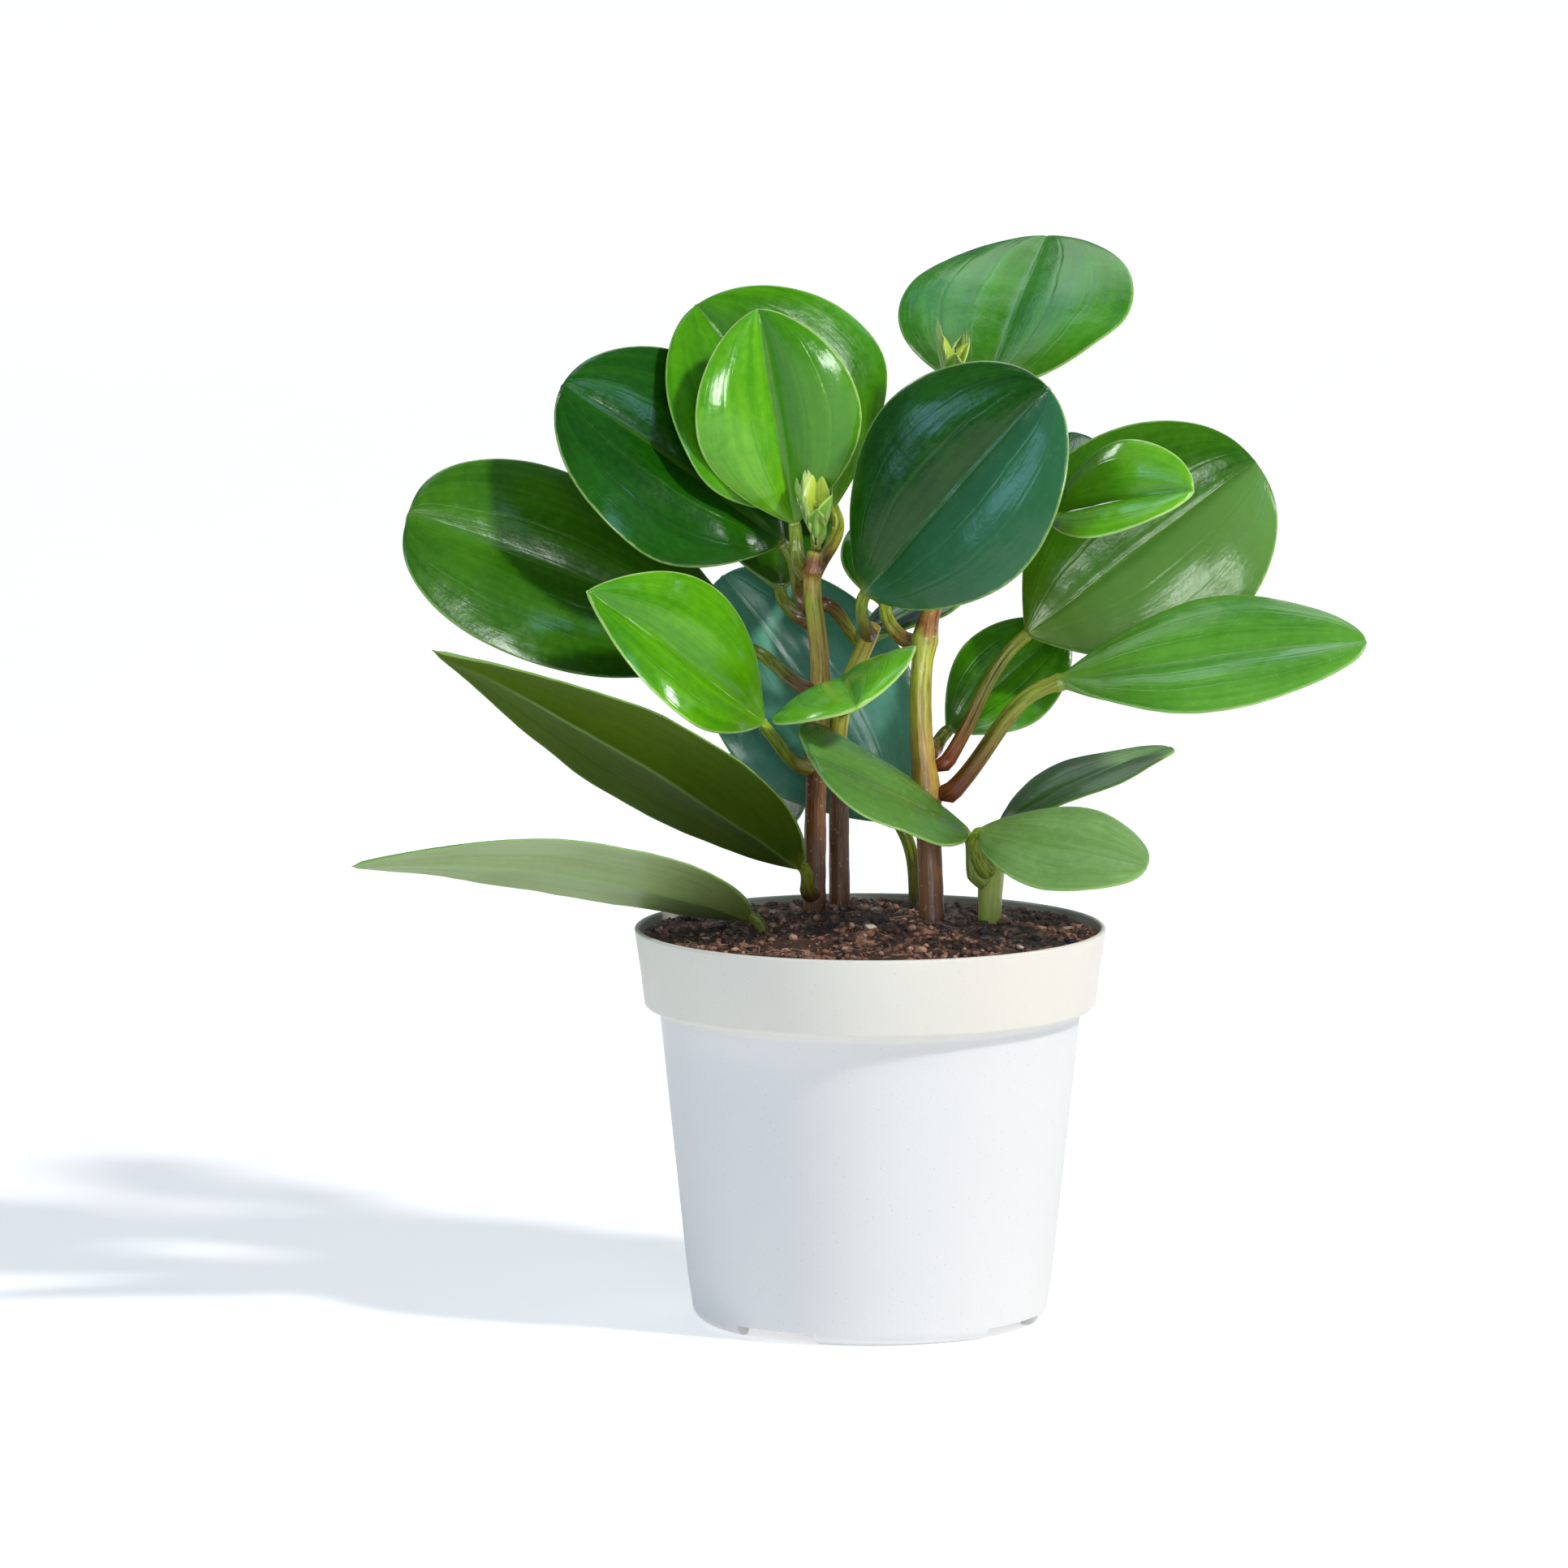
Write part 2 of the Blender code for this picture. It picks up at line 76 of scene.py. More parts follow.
class Nodes:
    # a short way to lay out a material's node tree
    def __init__(self, name):
        self.material = bpy.data.materials.new(name)
        self.material.use_nodes = True
        self.tree = self.material.node_tree
        self.shader = self.tree.nodes["Principled BSDF"]

    def add(self, kind, **settings):
        node = self.tree.nodes.new(kind)
        for key, value in settings.items():
            setattr(node, key, value)
        return node

    def join(self, source, target):
        self.tree.links.new(source, target)

    def feed(self, socket, value):
        # a socket takes a link or a plain value
        if isinstance(value, bpy.types.NodeSocket):
            self.join(value, socket)
        else:
            socket.default_value = value

    def sum(self, operation, first, second=0.0):
        node = self.add("ShaderNodeMath", operation=operation)
        for socket, value in zip(node.inputs, (first, second)):
            self.feed(socket, value)
        return node.outputs[0]

    def spread(self, value, low, high, toLow=0.0, toHigh=1.0, smooth=True):
        node = self.add("ShaderNodeMapRange", clamp=True)
        node.interpolation_type = "SMOOTHSTEP" if smooth else "LINEAR"
        for socket, number in zip(node.inputs, (value, low, high, toLow, toHigh)):
            self.feed(socket, number)
        return node.outputs[0]

    def blend(self, share, first, second, how="MIX"):
        node = self.add("ShaderNodeMix", data_type="RGBA", blend_type=how, clamp_factor=True)
        self.feed(node.inputs[0], share)
        for socket, value in ((node.inputs[6], first), (node.inputs[7], second)):
            self.feed(socket, (*value, 1.0) if isinstance(value, tuple) and len(value) == 3 else value)
        return node.outputs[2]

    def attribute(self, name):
        return self.add("ShaderNodeAttribute", attribute_name=name).outputs["Fac"]

    def objectPoint(self, scale=(1, 1, 1)):
        place = self.add("ShaderNodeTexCoord").outputs["Object"]
        stretch = self.add("ShaderNodeMapping")
        stretch.inputs["Scale"].default_value = scale
        self.join(place, stretch.inputs["Vector"])
        return stretch.outputs[0]

    def farness(self):
        # how far a point is from the upright axis
        parts = self.add("ShaderNodeSeparateXYZ")
        self.join(self.objectPoint(), parts.inputs[0])
        squares = [self.sum("MULTIPLY", part, part) for part in parts.outputs[:2]]
        return self.sum("SQRT", self.sum("ADD", *squares))

    def cloud(self, scale, detail=3.0, roughness=0.5, point=None):
        node = self.add("ShaderNodeTexNoise")
        node.inputs["Scale"].default_value = scale
        node.inputs["Detail"].default_value = detail
        node.inputs["Roughness"].default_value = roughness
        self.join(point or self.objectPoint(), node.inputs["Vector"])
        return node.outputs[0]

    def cells(self, scale):
        # how far a point is from the middle of its cell
        node = self.add("ShaderNodeTexVoronoi")
        node.inputs["Scale"].default_value = scale
        self.join(self.objectPoint(), node.inputs["Vector"])
        return node.outputs["Distance"]

    def combine(self, x, y, z):
        node = self.add("ShaderNodeCombineXYZ")
        for socket, value in zip(node.inputs, (x, y, z)):
            self.feed(socket, value)
        return node.outputs[0]

    def shift(self, point, distance):
        node = self.add("ShaderNodeMapping")
        node.inputs["Location"].default_value = (distance, distance * 0.7, distance * 1.3)
        self.join(point, node.inputs["Vector"])
        return node.outputs[0]

    def bump(self, height, strength, distance, under=None):
        node = self.add("ShaderNodeBump")
        node.inputs["Strength"].default_value = strength
        node.inputs["Distance"].default_value = distance
        self.join(height, node.inputs["Height"])
        if under:
            self.join(under, node.inputs["Normal"])
        return node.outputs[0]

    def set(self, **values):
        # Base_Color stands for the shader's "Base Color"
        for name, value in values.items():
            self.feed(self.shader.inputs[name.replace("_", " ")], value)
        return self.material


def rolledGrid(work, rows, columns, place):
    # rolls a flat grid into a closed tube: place puts each vertex by how far along and around it is, 0 to 1
    made = bmesh.ops.create_grid(work, x_segments=rows, y_segments=columns, size=0.5)["verts"]
    for vertex in made:
        place(vertex, vertex.co.x + 0.5, vertex.co.y + 0.5)
    bmesh.ops.remove_doubles(work, verts=made, dist=1e-6)
    bmesh.ops.recalc_face_normals(work, faces=work.faces)


def spunShell(profile, steps):
    # turns a closed outline of (radius, height) points about the upright axis
    work = bmesh.new()
    corners = [work.verts.new((radius, 0, height)) for radius, height in profile]
    edges = [work.edges.new(pair) for pair in zip(corners, corners[1:])]
    bmesh.ops.spin(work, geom=corners + edges, cent=(0, 0, 0), axis=(0, 0, 1), angle=2 * pi,
                   steps=steps, use_merge=True, use_duplicate=False)
    bmesh.ops.remove_doubles(work, verts=work.verts, dist=1e-6)
    bmesh.ops.recalc_face_normals(work, faces=work.faces)
    return work


def smoothRoute(points, share):
    # a curve through the points, share running from 0 at the first to 1 at the last
    spans = len(points) - 1
    place = min(max(share, 0.0), 1.0) * spans
    step = min(int(place), spans - 1)
    t = place - step
    before = points[step - 1] if step else points[0] * 2 - points[1]
    here, there = points[step], points[step + 1]
    after = points[step + 2] if step + 2 <= spans else there * 2 - here
    return 0.5 * (2 * here + (there - before) * t + (2 * before - 5 * here + 4 * there - after) * t * t
                  + (3 * here - before - 3 * there + after) * t ** 3)


def heading(turn, rise):
    turn, rise = radians(turn), radians(rise)
    return Vector((cos(turn) * cos(rise), sin(turn) * cos(rise), sin(rise)))


# Pot

pot = {
    "rimRadius": 61.0, "collarFootRadius": 58.5, "collarHeight": 20.5, "lipRound": 1.2,
    "bodyTopRadius": 56.8, "bodyFootRadius": 46.1, "footRounding": 4.0, "wall": 1.4,
    "floorLift": 4.0, "floorThickness": 1.6, "padRadius": 12.0,
    "notches": 4, "notchSpan": 30.0, "notchHeight": 3.0, "notchTurn": 236.25, "notchRounding": 0.9,
    "drains": 6, "drainRadius": 3.5, "drainCircle": 30.0, "steps": 192,
}


def arc(centreRadius, centreHeight, radius, start, end, points=5):
    turns = [radians(start + (end - start) * step / (points - 1)) for step in range(points)]
    return [(centreRadius + radius * cos(turn), centreHeight + radius * sin(turn)) for turn in turns]


def potOutline():
    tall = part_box("pot")[1][2] / millimetre
    collarFoot = tall - pot["collarHeight"]
    taper = (pot["bodyTopRadius"] - pot["bodyFootRadius"]) / tall

    def bodyAt(height):
        return pot["bodyFootRadius"] + taper * height

    rounding, wall, lip = pot["footRounding"], pot["wall"], pot["lipRound"]
    floorTop = pot["floorLift"] + pot["floorThickness"]
    footInner = bodyAt(0) - rounding - wall
    under = [(0, 0), (pot["padRadius"], 0), (pot["padRadius"] + pot["floorLift"] / 2, pot["floorLift"]),
             (footInner - pot["floorLift"] / 2, pot["floorLift"]), (footInner, 0.5)]
    foot = arc(footInner + 0.5, 0.5, 0.5, 180, 270, 3)
    foot += arc(bodyAt(0) - rounding, rounding, rounding, 270, 360, 9)
    body = [(bodyAt(height), height) for height in (12, 30, 50, 70, collarFoot - 2.2)]
    lipArc = arc(pot["collarFootRadius"] - lip, collarFoot + lip, lip, 255, 355, 9)
    collar = [(bodyAt(collarFoot) + 0.4, collarFoot - 1.1), (pot["collarFootRadius"] - 2.2, collarFoot - 0.4),
              *lipArc, (pot["collarFootRadius"] + 0.9, collarFoot + 9)]
    rimRound = wall / 2
    rim = arc(pot["rimRadius"] - rimRound, tall - rimRound, rimRound, -10, 190, 9)
    inside = [(pot["rimRadius"] - wall - 0.15, tall - 3), (bodyAt(collarFoot) - wall + 0.2, collarFoot + 0.5),
              (bodyAt(collarFoot) - wall, collarFoot - 1), (bodyAt(40) - wall, 40),
              (bodyAt(floorTop) - wall, floorTop + 3)]
    insideFoot = arc(bodyAt(floorTop) - wall - 2, floorTop + 2, 2, 0, -90, 4) + [(0, floorTop)]
    outline = under + foot + body + collar + rim + inside + insideFoot
    return [(radius * millimetre, height * millimetre) for radius, height in outline]


def cutOut(piece, cutters):
    # takes the cutters' shapes away, then keeps the result as plain mesh
    for number, cutter in enumerate(cutters):
        change = piece.modifiers.new(f"cut{number}", "BOOLEAN")
        change.operation, change.solver, change.object = "DIFFERENCE", "EXACT", cutter
    shaped = bpy.data.meshes.new_from_object(piece.evaluated_get(bpy.context.evaluated_depsgraph_get()))
    piece.modifiers.clear()
    piece.data = shaped
    for cutter in cutters:
        bpy.data.objects.remove(cutter)


def makeCutter(work):
    mesh = bpy.data.meshes.new("cutter")
    bmesh.ops.recalc_face_normals(work, faces=work.faces)
    work.to_mesh(mesh)
    work.free()
    cutter = bpy.data.objects.new("cutter", mesh)
    bpy.context.scene.collection.objects.link(cutter)
    return cutter


def makePot():
    work = spunShell(potOutline(), pot["steps"])
    piece = bpy.data.objects.new("potShell", meshFrom(work, "potShell", []))
    bpy.context.scene.collection.objects.link(piece)
    cutters = []
    for number in range(pot["notches"]):
        turn = radians(pot["notchTurn"] + 360 * number / pot["notches"])
        work = bmesh.new()
        bmesh.ops.create_cube(work, size=1)
        wide = 2 * pot["bodyFootRadius"] * sin(radians(pot["notchSpan"] / 2))
        bmesh.ops.scale(work, vec=Vector((16, wide, 2 * pot["notchHeight"])) * millimetre, verts=work.verts)
        outward = [edge for edge in work.edges if abs(edge.verts[0].co.y - edge.verts[1].co.y) < 1e-9
                   and abs(edge.verts[0].co.z - edge.verts[1].co.z) < 1e-9]
        bmesh.ops.bevel(work, geom=outward, offset=pot["notchRounding"] * millimetre, segments=3,
                        affect="EDGES", profile=0.5, material=-1)
        bmesh.ops.translate(work, vec=(pot["bodyFootRadius"] * millimetre, 0, 0), verts=work.verts)
        bmesh.ops.rotate(work, cent=(0, 0, 0), matrix=Matrix.Rotation(turn, 3, "Z"), verts=work.verts)
        cutters.append(makeCutter(work))
    for number in range(pot["drains"]):
        turn = 2 * pi * number / pot["drains"] + pi / 48
        work = bmesh.new()
        bmesh.ops.create_cone(work, cap_ends=True, segments=32, radius1=pot["drainRadius"] * millimetre,
                              radius2=pot["drainRadius"] * millimetre, depth=0.02)
        place = Vector((cos(turn), sin(turn), 0)) * pot["drainCircle"] * millimetre
        bmesh.ops.translate(work, vec=place, verts=work.verts)
        cutters.append(makeCutter(work))
    cutOut(piece, cutters)
    mesh = piece.data
    bpy.data.objects.remove(piece)
    mesh.materials.clear()
    mesh.materials.append(potPlastic())
    mesh.shade_smooth()
    mesh.set_sharp_from_angle(angle=radians(38))
    finishPiece("potShell", mesh, ["pot"])
    print("pot made")


def potPlastic():
    nodes = Nodes("potPlastic")
    height = nodes.add("ShaderNodeSeparateXYZ")
    nodes.join(nodes.objectPoint(), height.inputs[0])
    creamy = nodes.spread(height.outputs[2], 0.079, 0.083)
    cloudy = nodes.cloud(18, 4)
    body = nodes.blend(cloudy, (0.615, 0.62, 0.63), (0.655, 0.657, 0.662))
    collar = nodes.blend(cloudy, (0.62, 0.60, 0.545), (0.65, 0.63, 0.58))
    colour = nodes.blend(creamy, body, collar)
    speck = nodes.spread(nodes.cells(520), 0.03, 0.09)
    colour = nodes.blend(nodes.sum("SUBTRACT", 1.0, speck), colour, (0.62, 0.58, 0.50), "MULTIPLY")
    fine = nodes.cloud(900, 2)
    scuffs = nodes.cloud(60, 5, 0.6, nodes.objectPoint((1, 1, 0.25)))
    rough = nodes.spread(scuffs, 0.3, 0.75, 0.36, 0.52)
    relief = nodes.bump(fine, 0.12, 0.0004)
    nodes.shader.inputs["IOR"].default_value = 1.5
    nodes.shader.inputs["Subsurface Weight"].default_value = 0.08
    nodes.shader.inputs["Subsurface Radius"].default_value = (1.0, 0.85, 0.7)
    nodes.shader.inputs["Subsurface Scale"].default_value = 0.003
    return nodes.set(Base_Color=colour, Roughness=rough, Normal=relief)


# Soil

soil = {
    "belowRim": 2.0, "heap": 4.7, "lumps": 1.4, "grain": 0.7, "gapToWall": 0.25,
    "crumbs": 2600, "crumbSizes": (0.35, 1.5), "chips": 16, "fibres": 160, "seed": 11,
}


def soilRise(x, y):
    # the height of the soil's surface over its edge, in metres
    edge = (pot["rimRadius"] - pot["wall"] - 0.5) * millimetre
    share = min(1.0, hypot(x, y) / edge)
    heap = soil["heap"] * cos(share * pi / 2) ** 1.3
    lumps = soil["lumps"] * noise.fractal(Vector((x, y, 0)) * 95, 0.9, 2.1, 4)
    grain = soil["grain"] * noise.noise(Vector((x, y, 0.3)) * 900)
    return (heap + (lumps + grain) * (1 - share ** 6)) * millimetre


def scattered(chance, edge):
    # a place on the soil's disc, in metres
    reach = edge * chance.random() ** 0.5 * millimetre
    turn = chance.uniform(0, 2 * pi)
    return reach * cos(turn), reach * sin(turn)


def tumble(chance, tilt, spread):
    # any way round, and tilted by about the given turn
    return (Matrix.Rotation(chance.uniform(0, 6.28), 3, "Z")
            @ Matrix.Rotation(tilt + chance.uniform(-spread, spread), 3, "X"))


def makeSoil():
    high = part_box("pot")[1][2]
    tall = high / millimetre
    top = high - soil["belowRim"] * millimetre
    bottom = (pot["floorLift"] + pot["floorThickness"] + soil["gapToWall"]) * millimetre
    gap = soil["gapToWall"]
    collarFoot = tall - pot["collarHeight"]

    def inner(height):
        taper = (pot["bodyTopRadius"] - pot["bodyFootRadius"]) / tall
        return pot["bodyFootRadius"] - pot["wall"] - gap + taper * height

    edge = pot["rimRadius"] - pot["wall"] - gap - 0.8
    rings = 90
    outline = [((edge * step / rings) * millimetre, top) for step in range(rings + 1)]
    outline += [((inner(collarFoot) - 0.1) * millimetre, collarFoot * millimetre),
                ((inner(12)) * millimetre, 0.012), ((inner(6) - 2.5) * millimetre, bottom), (0, bottom)]
    work = spunShell(outline, 240)
    for vertex in work.verts:
        if vertex.co.z > top - 1e-6:
            vertex.co.z += soilRise(vertex.co.x, vertex.co.y)
    finishPiece("soilBody", meshFrom(work, "soilBody", [soilEarth()]), ["soil"])

    chance = random.Random(soil["seed"])
    work = bmesh.new()
    tint = work.verts.layers.float.new("tint")
    smallest, largest = soil["crumbSizes"]
    for number in range(soil["crumbs"]):
        x, y = scattered(chance, edge * 0.985)
        size = (smallest + (largest - smallest) * chance.random() ** 3) * millimetre
        made = bmesh.ops.create_icosphere(work, subdivisions=1, radius=size)["verts"]
        stretch = Vector((chance.uniform(0.7, 1.5), chance.uniform(0.6, 1.1), chance.uniform(0.45, 0.9)))
        shade = chance.random()
        spin = tumble(chance, 0, 0.7)
        for vertex in made:
            jolt = 1 + 0.28 * noise.noise(vertex.co * 900 + Vector((number, 0, 0)))
            vertex.co = spin @ (vertex.co * jolt * stretch)
            vertex.co += Vector((x, y, top + soilRise(x, y) + size * 0.25))
            vertex[tint] = shade
    for number in range(soil["chips"]):
        x, y = scattered(chance, edge * 0.93)
        made = bmesh.ops.create_cube(work, size=chance.uniform(1.2, 2.6) * millimetre)["verts"]
        spin = tumble(chance, 0, 0.6)
        flat = Vector((1.3, chance.uniform(0.5, 0.9), 0.32))
        for vertex in made:
            jolt = 1 + 0.2 * noise.noise(vertex.co * 1500 + Vector((number, 5, 0)))
            vertex.co = spin @ (vertex.co * flat) * jolt
            vertex.co += Vector((x, y, top + soilRise(x, y) + 0.0006))
            vertex[tint] = 1.6
    for number in range(soil["fibres"]):
        x, y = scattered(chance, edge * 0.95)
        made = bmesh.ops.create_cone(work, cap_ends=True, segments=4, radius1=0.00013, radius2=0.00008,
                                     depth=chance.uniform(2.5, 6.0) * millimetre)["verts"]
        spin = tumble(chance, pi / 2, 0.35)
        for vertex in made:
            vertex.co = spin @ vertex.co + Vector((x, y, top + soilRise(x, y) + 0.0007))
            vertex[tint] = 1.15
    mesh = meshFrom(work, "soilCrumbs", [soilEarth("soilCrumb", True)])
    finishPiece("soilCrumbs", mesh, [])
    print("soil made")


def soilEarth(name="soilEarth", tinted=False):
    nodes = Nodes(name)
    dark = nodes.blend(nodes.cloud(120, 4), (0.010, 0.004, 0.002), (0.085, 0.036, 0.018))
    pale = nodes.blend(nodes.cloud(500, 2), (0.12, 0.052, 0.030), (0.36, 0.19, 0.125))
    share = nodes.spread(nodes.cloud(260, 3), 0.50, 0.62)
    colour = nodes.blend(share, dark, pale)
    # large random darker patches on the soil
    darkPatches = nodes.spread(nodes.cloud(48, 3), 0.50, 0.60, 0.0, 0.8)
    if tinted:
        tint = nodes.attribute("tint")
        warm = nodes.blend(nodes.spread(tint, 0.0, 0.75), (0.014, 0.006, 0.003), (0.27, 0.115, 0.070))
        bright = nodes.blend(nodes.spread(tint, 0.7, 1.0), warm, (0.50, 0.28, 0.19))
        colour = nodes.blend(nodes.spread(tint, 1.3, 1.6), bright, (0.52, 0.42, 0.32))
        dirt = nodes.spread(nodes.cloud(400, 3), 0.35, 0.7, 0.0, 0.5)
        colour = nodes.blend(dirt, colour, (0.02, 0.009, 0.006))
    colour = nodes.blend(darkPatches, colour, (0.012, 0.006, 0.003))
    relief = nodes.bump(nodes.cells(700), 0.6, 0.0006)
    rough = nodes.spread(nodes.cloud(90, 2), 0.3, 0.7, 0.62, 0.95)
    return nodes.set(Base_Color=colour, Roughness=rough, Normal=relief)


# Stems: heights and places in mm, thickness as a radius, and colours by how far along they come

stems = {
    "stem_left": {
        "foot": (-14.5, 14), "way": [(-14.0, 13, 30), (-12.8, 12, 62), (-14.8, 10, 84), (-14.2, 9, 94)],
        "thick": 3.0, "thin": 2.1, "nodes": (0.35, 0.86), "seed": 1.0, "streaks": 0.75,
        "colours": [(0.0, "bark"), (0.3, "bark"), (0.42, "straw"), (0.6, "straw"), (0.68, "lime"),
                    (0.80, "straw"), (0.86, "rust"), (0.92, "rust"), (1.0, "lime")]},
    "stem_middle": {
        "foot": (-7.5, 19), "way": [(-8.0, 18, 30), (-7.4, 14, 52), (0.8, 8, 75)],
        "thick": 2.8, "thin": 2.2, "nodes": (0.45, 0.72), "seed": 2.0, "streaks": 0.7,
        "colours": [(0.0, "bark"), (0.4, "bark"), (0.5, "rust"), (0.6, "lime"), (0.8, "lime"),
                    (1.0, "straw")]},
    "stem_right": {
        "foot": (16.8, -4), "way": [(15.0, 0, 25), (13.0, 4, 55), (15.0, 8, 76), (21.5, 14, 100),
                                    (22.5, 18, 133)],
        "thick": 3.4, "thin": 2.2, "nodes": (0.24, 0.56, 0.78), "seed": 3.0, "streaks": 0.8,
        "colours": [(0.0, "bark"), (0.17, "rust"), (0.20, "straw"), (0.24, "rust"), (0.33, "straw"),
                    (0.45, "lime"), (0.54, "lime"), (0.58, "rust"), (0.66, "straw"), (0.8, "lime"),
                    (1.0, "lime")]},
    "side_shoot": {
        "foot": (30.8, -2), "way": [(31.2, -3, 8), (31.8, -4, 17)],
        "thick": 2.4, "thin": 4.0, "nodes": (), "seed": 4.0, "streaks": 0.2,
        "colours": [(0.0, "pale"), (0.5, "pale"), (1.0, "pale")]},
}
stemLook = {
    "rooted": 24, "nodeSwell": 1.25, "nodeReach": 0.06, "nodeRing": 0.06, "ridges": 0.021, "bumps": 0.044,
    "capFrom": 0.96, "rows": 180, "columns": 40,
    "bark": (0.17, 0.060, 0.014), "rust": (0.26, 0.085, 0.018), "straw": (0.46, 0.33, 0.05),
    "lime": (0.42, 0.46, 0.035), "pale": (0.42, 0.55, 0.10),
}


def frameAlong(direction, across):
    direction = direction.normalized()
    across = (across - direction * across.dot(direction)).normalized()
    return direction, across, direction.cross(across)


def makeStem(name):
    stem = stems[name]
    x, y = stem["foot"]
    points = [Vector((x, y, -stemLook["rooted"])) * millimetre]
    points += [Vector(point) * millimetre for point in stem["way"]]
    work = bmesh.new()
    layers = {key: work.verts.layers.float.new(key) for key in ("along", "ringX", "ringY")}

    def place(vertex, along, around):
        # the last few rows close the top in a round
        share = min(1.0, along / stemLook["capFrom"])
        cap = max(0.0, (along - stemLook["capFrom"]) / (1 - stemLook["capFrom"]))
        centre = smoothRoute(points, share)
        ahead = smoothRoute(points, min(share + 0.02, 1)) - smoothRoute(points, max(share - 0.02, 0))
        ahead, across, up = frameAlong(ahead, Vector((1, 0, 0)))
        radius = stem["thick"] + (stem["thin"] - stem["thick"]) * share
        for node in stem["nodes"]:
            near = (share - node) / stemLook["nodeReach"]
            if abs(near) < 1:
                radius *= 1 + (stemLook["nodeSwell"] - 1) * (0.5 + 0.5 * cos(pi * near))
            radius *= 1 + stemLook["nodeRing"] * exp(-(near * 7) ** 2)
        turn = 2 * pi * around
        radius *= 1 + stemLook["ridges"] * sin(5 * turn + 4 * share + stem["seed"])
        spot = centre * 260 + Vector((cos(turn), sin(turn), stem["seed"])) * 0.7
        radius *= 1 + stemLook["bumps"] * noise.noise(spot)
        radius *= cos(cap * pi / 2) if along < 1 else 0.0
        lift = stem["thin"] * 0.35 * sin(cap * pi / 2)
        vertex.co = centre + (ahead * lift + (across * cos(turn) + up * sin(turn)) * radius) * millimetre
        if along == 0:
            vertex.co = centre
        vertex[layers["along"]] = share
        vertex[layers["ringX"]] = cos(turn)
        vertex[layers["ringY"]] = sin(turn)

    rolledGrid(work, stemLook["rows"], stemLook["columns"], place)
    moveOnto(work, name)
    mesh = meshFrom(work, name + "Skin", [stemBark(name, stem)])
    finishPiece(name + "Skin", mesh, [name])


def stemBark(name, stem):
    nodes = Nodes(name + "Bark")
    along = nodes.attribute("along")
    ramp = nodes.add("ShaderNodeValToRGB")
    uneven = nodes.spread(nodes.cloud(90, 3), 0.3, 0.7, -0.04, 0.04, False)
    nodes.join(nodes.sum("ADD", along, uneven), ramp.inputs[0])
    stops = ramp.color_ramp.elements
    while len(stops) < len(stem["colours"]):
        stops.new(0.5)
    for stop, (place, colour) in zip(stops, stem["colours"]):
        stop.position = place
        stop.color = (*stemLook[colour], 1)
    streakPoint = nodes.combine(nodes.attribute("ringX"), nodes.attribute("ringY"),
                                nodes.sum("MULTIPLY", along, 2.2))
    streaks = nodes.cloud(3.2, 5, 0.65, streakPoint)
    fine = nodes.cloud(11, 3, 0.6, streakPoint)
    dark = nodes.spread(streaks, 0.46, 0.62, 0.0, stem["streaks"])
    colour = nodes.blend(dark, ramp.outputs[0], (0.42, 0.20, 0.09), "MULTIPLY")
    light = nodes.spread(fine, 0.56, 0.72, 0.0, 0.5)
    colour = nodes.blend(light, colour, (0.42, 0.42, 0.16), "SCREEN")
    spots = nodes.spread(nodes.cells(520), 0.05, 0.22, 0.55, 0.0)
    colour = nodes.blend(spots, colour, (0.50, 0.42, 0.30))
    relief = nodes.bump(streaks, 0.35, 0.0006, nodes.bump(fine, 0.25, 0.0003))
    rough = nodes.spread(fine, 0.3, 0.7, 0.30, 0.46)
    nodes.shader.inputs["Subsurface Weight"].default_value = 0.06
    nodes.shader.inputs["Subsurface Scale"].default_value = 0.002
    return nodes.set(Base_Color=colour, Roughness=rough, Normal=relief)


# Leaves: a petiole and its blade in one skin. Lengths in mm, directions in degrees: the heading is 0 to
# the right and 90 away from the viewer.

leafShape = {
    "roll": 0, "bend": 10, "fold": 6, "curl": 0.05,  # how the blade turns, arches, folds and cups
    "widest": 0.5, "tip": 0.5, "base": 0.85,  # the outline: a smaller tip or base is blunter
    "thick": 0.75, "margin": 0.62, "groove": 0.3, "keel": 0.9,  # the section
    "lobe": 0.07, "furrows": 0.05, "quilt": 0.55, "ripple": 0.12,  # swellings of the two halves
    "wave": 0.012, "waves": 1.5, "phase": 0.0, "notch": 0.0,  # the margin
    "neck": 1.7, "flare": 0.45, "leaving": "side", "spring": 0.7,  # the petiole
    "footReach": 2.5, "sunk": 2.2,  # how far its foot goes into the stem
    "rows": (26, 92), "columns": 92,
}
leafLook = {
    "deep": (0.006, 0.060, 0.001), "fresh": (0.030, 0.165, 0.003), "mottle": 0.8,
    "under": (0.110, 0.185, 0.018), "underDeep": (0.060, 0.115, 0.006), "underRough": 0.50,
    "heel": (0.045, 0.085, 0.003), "heelShare": 0.5,  # the blade's end at the petiole
    "half": (0.0, 0.0, 0.0), "paintedLightSide": 1, "paintedLightShare": 0.0,  # painted light and shade on one side of the midrib: a darker shaded half, a pale sheen, a blue reflection
    "rim": (0.26, 0.42, 0.12), "rimWidth": (0.15, 0.8), "rimShare": 0.7,
    "rib": (0.12, 0.24, 0.035), "ribShare": 0.2, "vein": 0.05,
    "petioleFrom": (0.16, 0.075, 0.02), "petioleTo": (0.26, 0.33, 0.03),
    "rough": (0.17, 0.28), "gloss": 0.08, "shine": 0.5, "glowDepth": 0.003,
}
youngLook = {
    "deep": (0.032, 0.19, 0.001), "fresh": (0.120, 0.40, 0.004), "under": (0.20, 0.42, 0.03),
    "underDeep": (0.12, 0.30, 0.01), "heel": (0.10, 0.26, 0.003), "rim": (0.45, 0.62, 0.20),
    "rib": (0.20, 0.42, 0.04), "petioleFrom": (0.22, 0.20, 0.03), "petioleTo": (0.30, 0.46, 0.03),
    "rough": (0.13, 0.22), "gloss": 0.15,
}


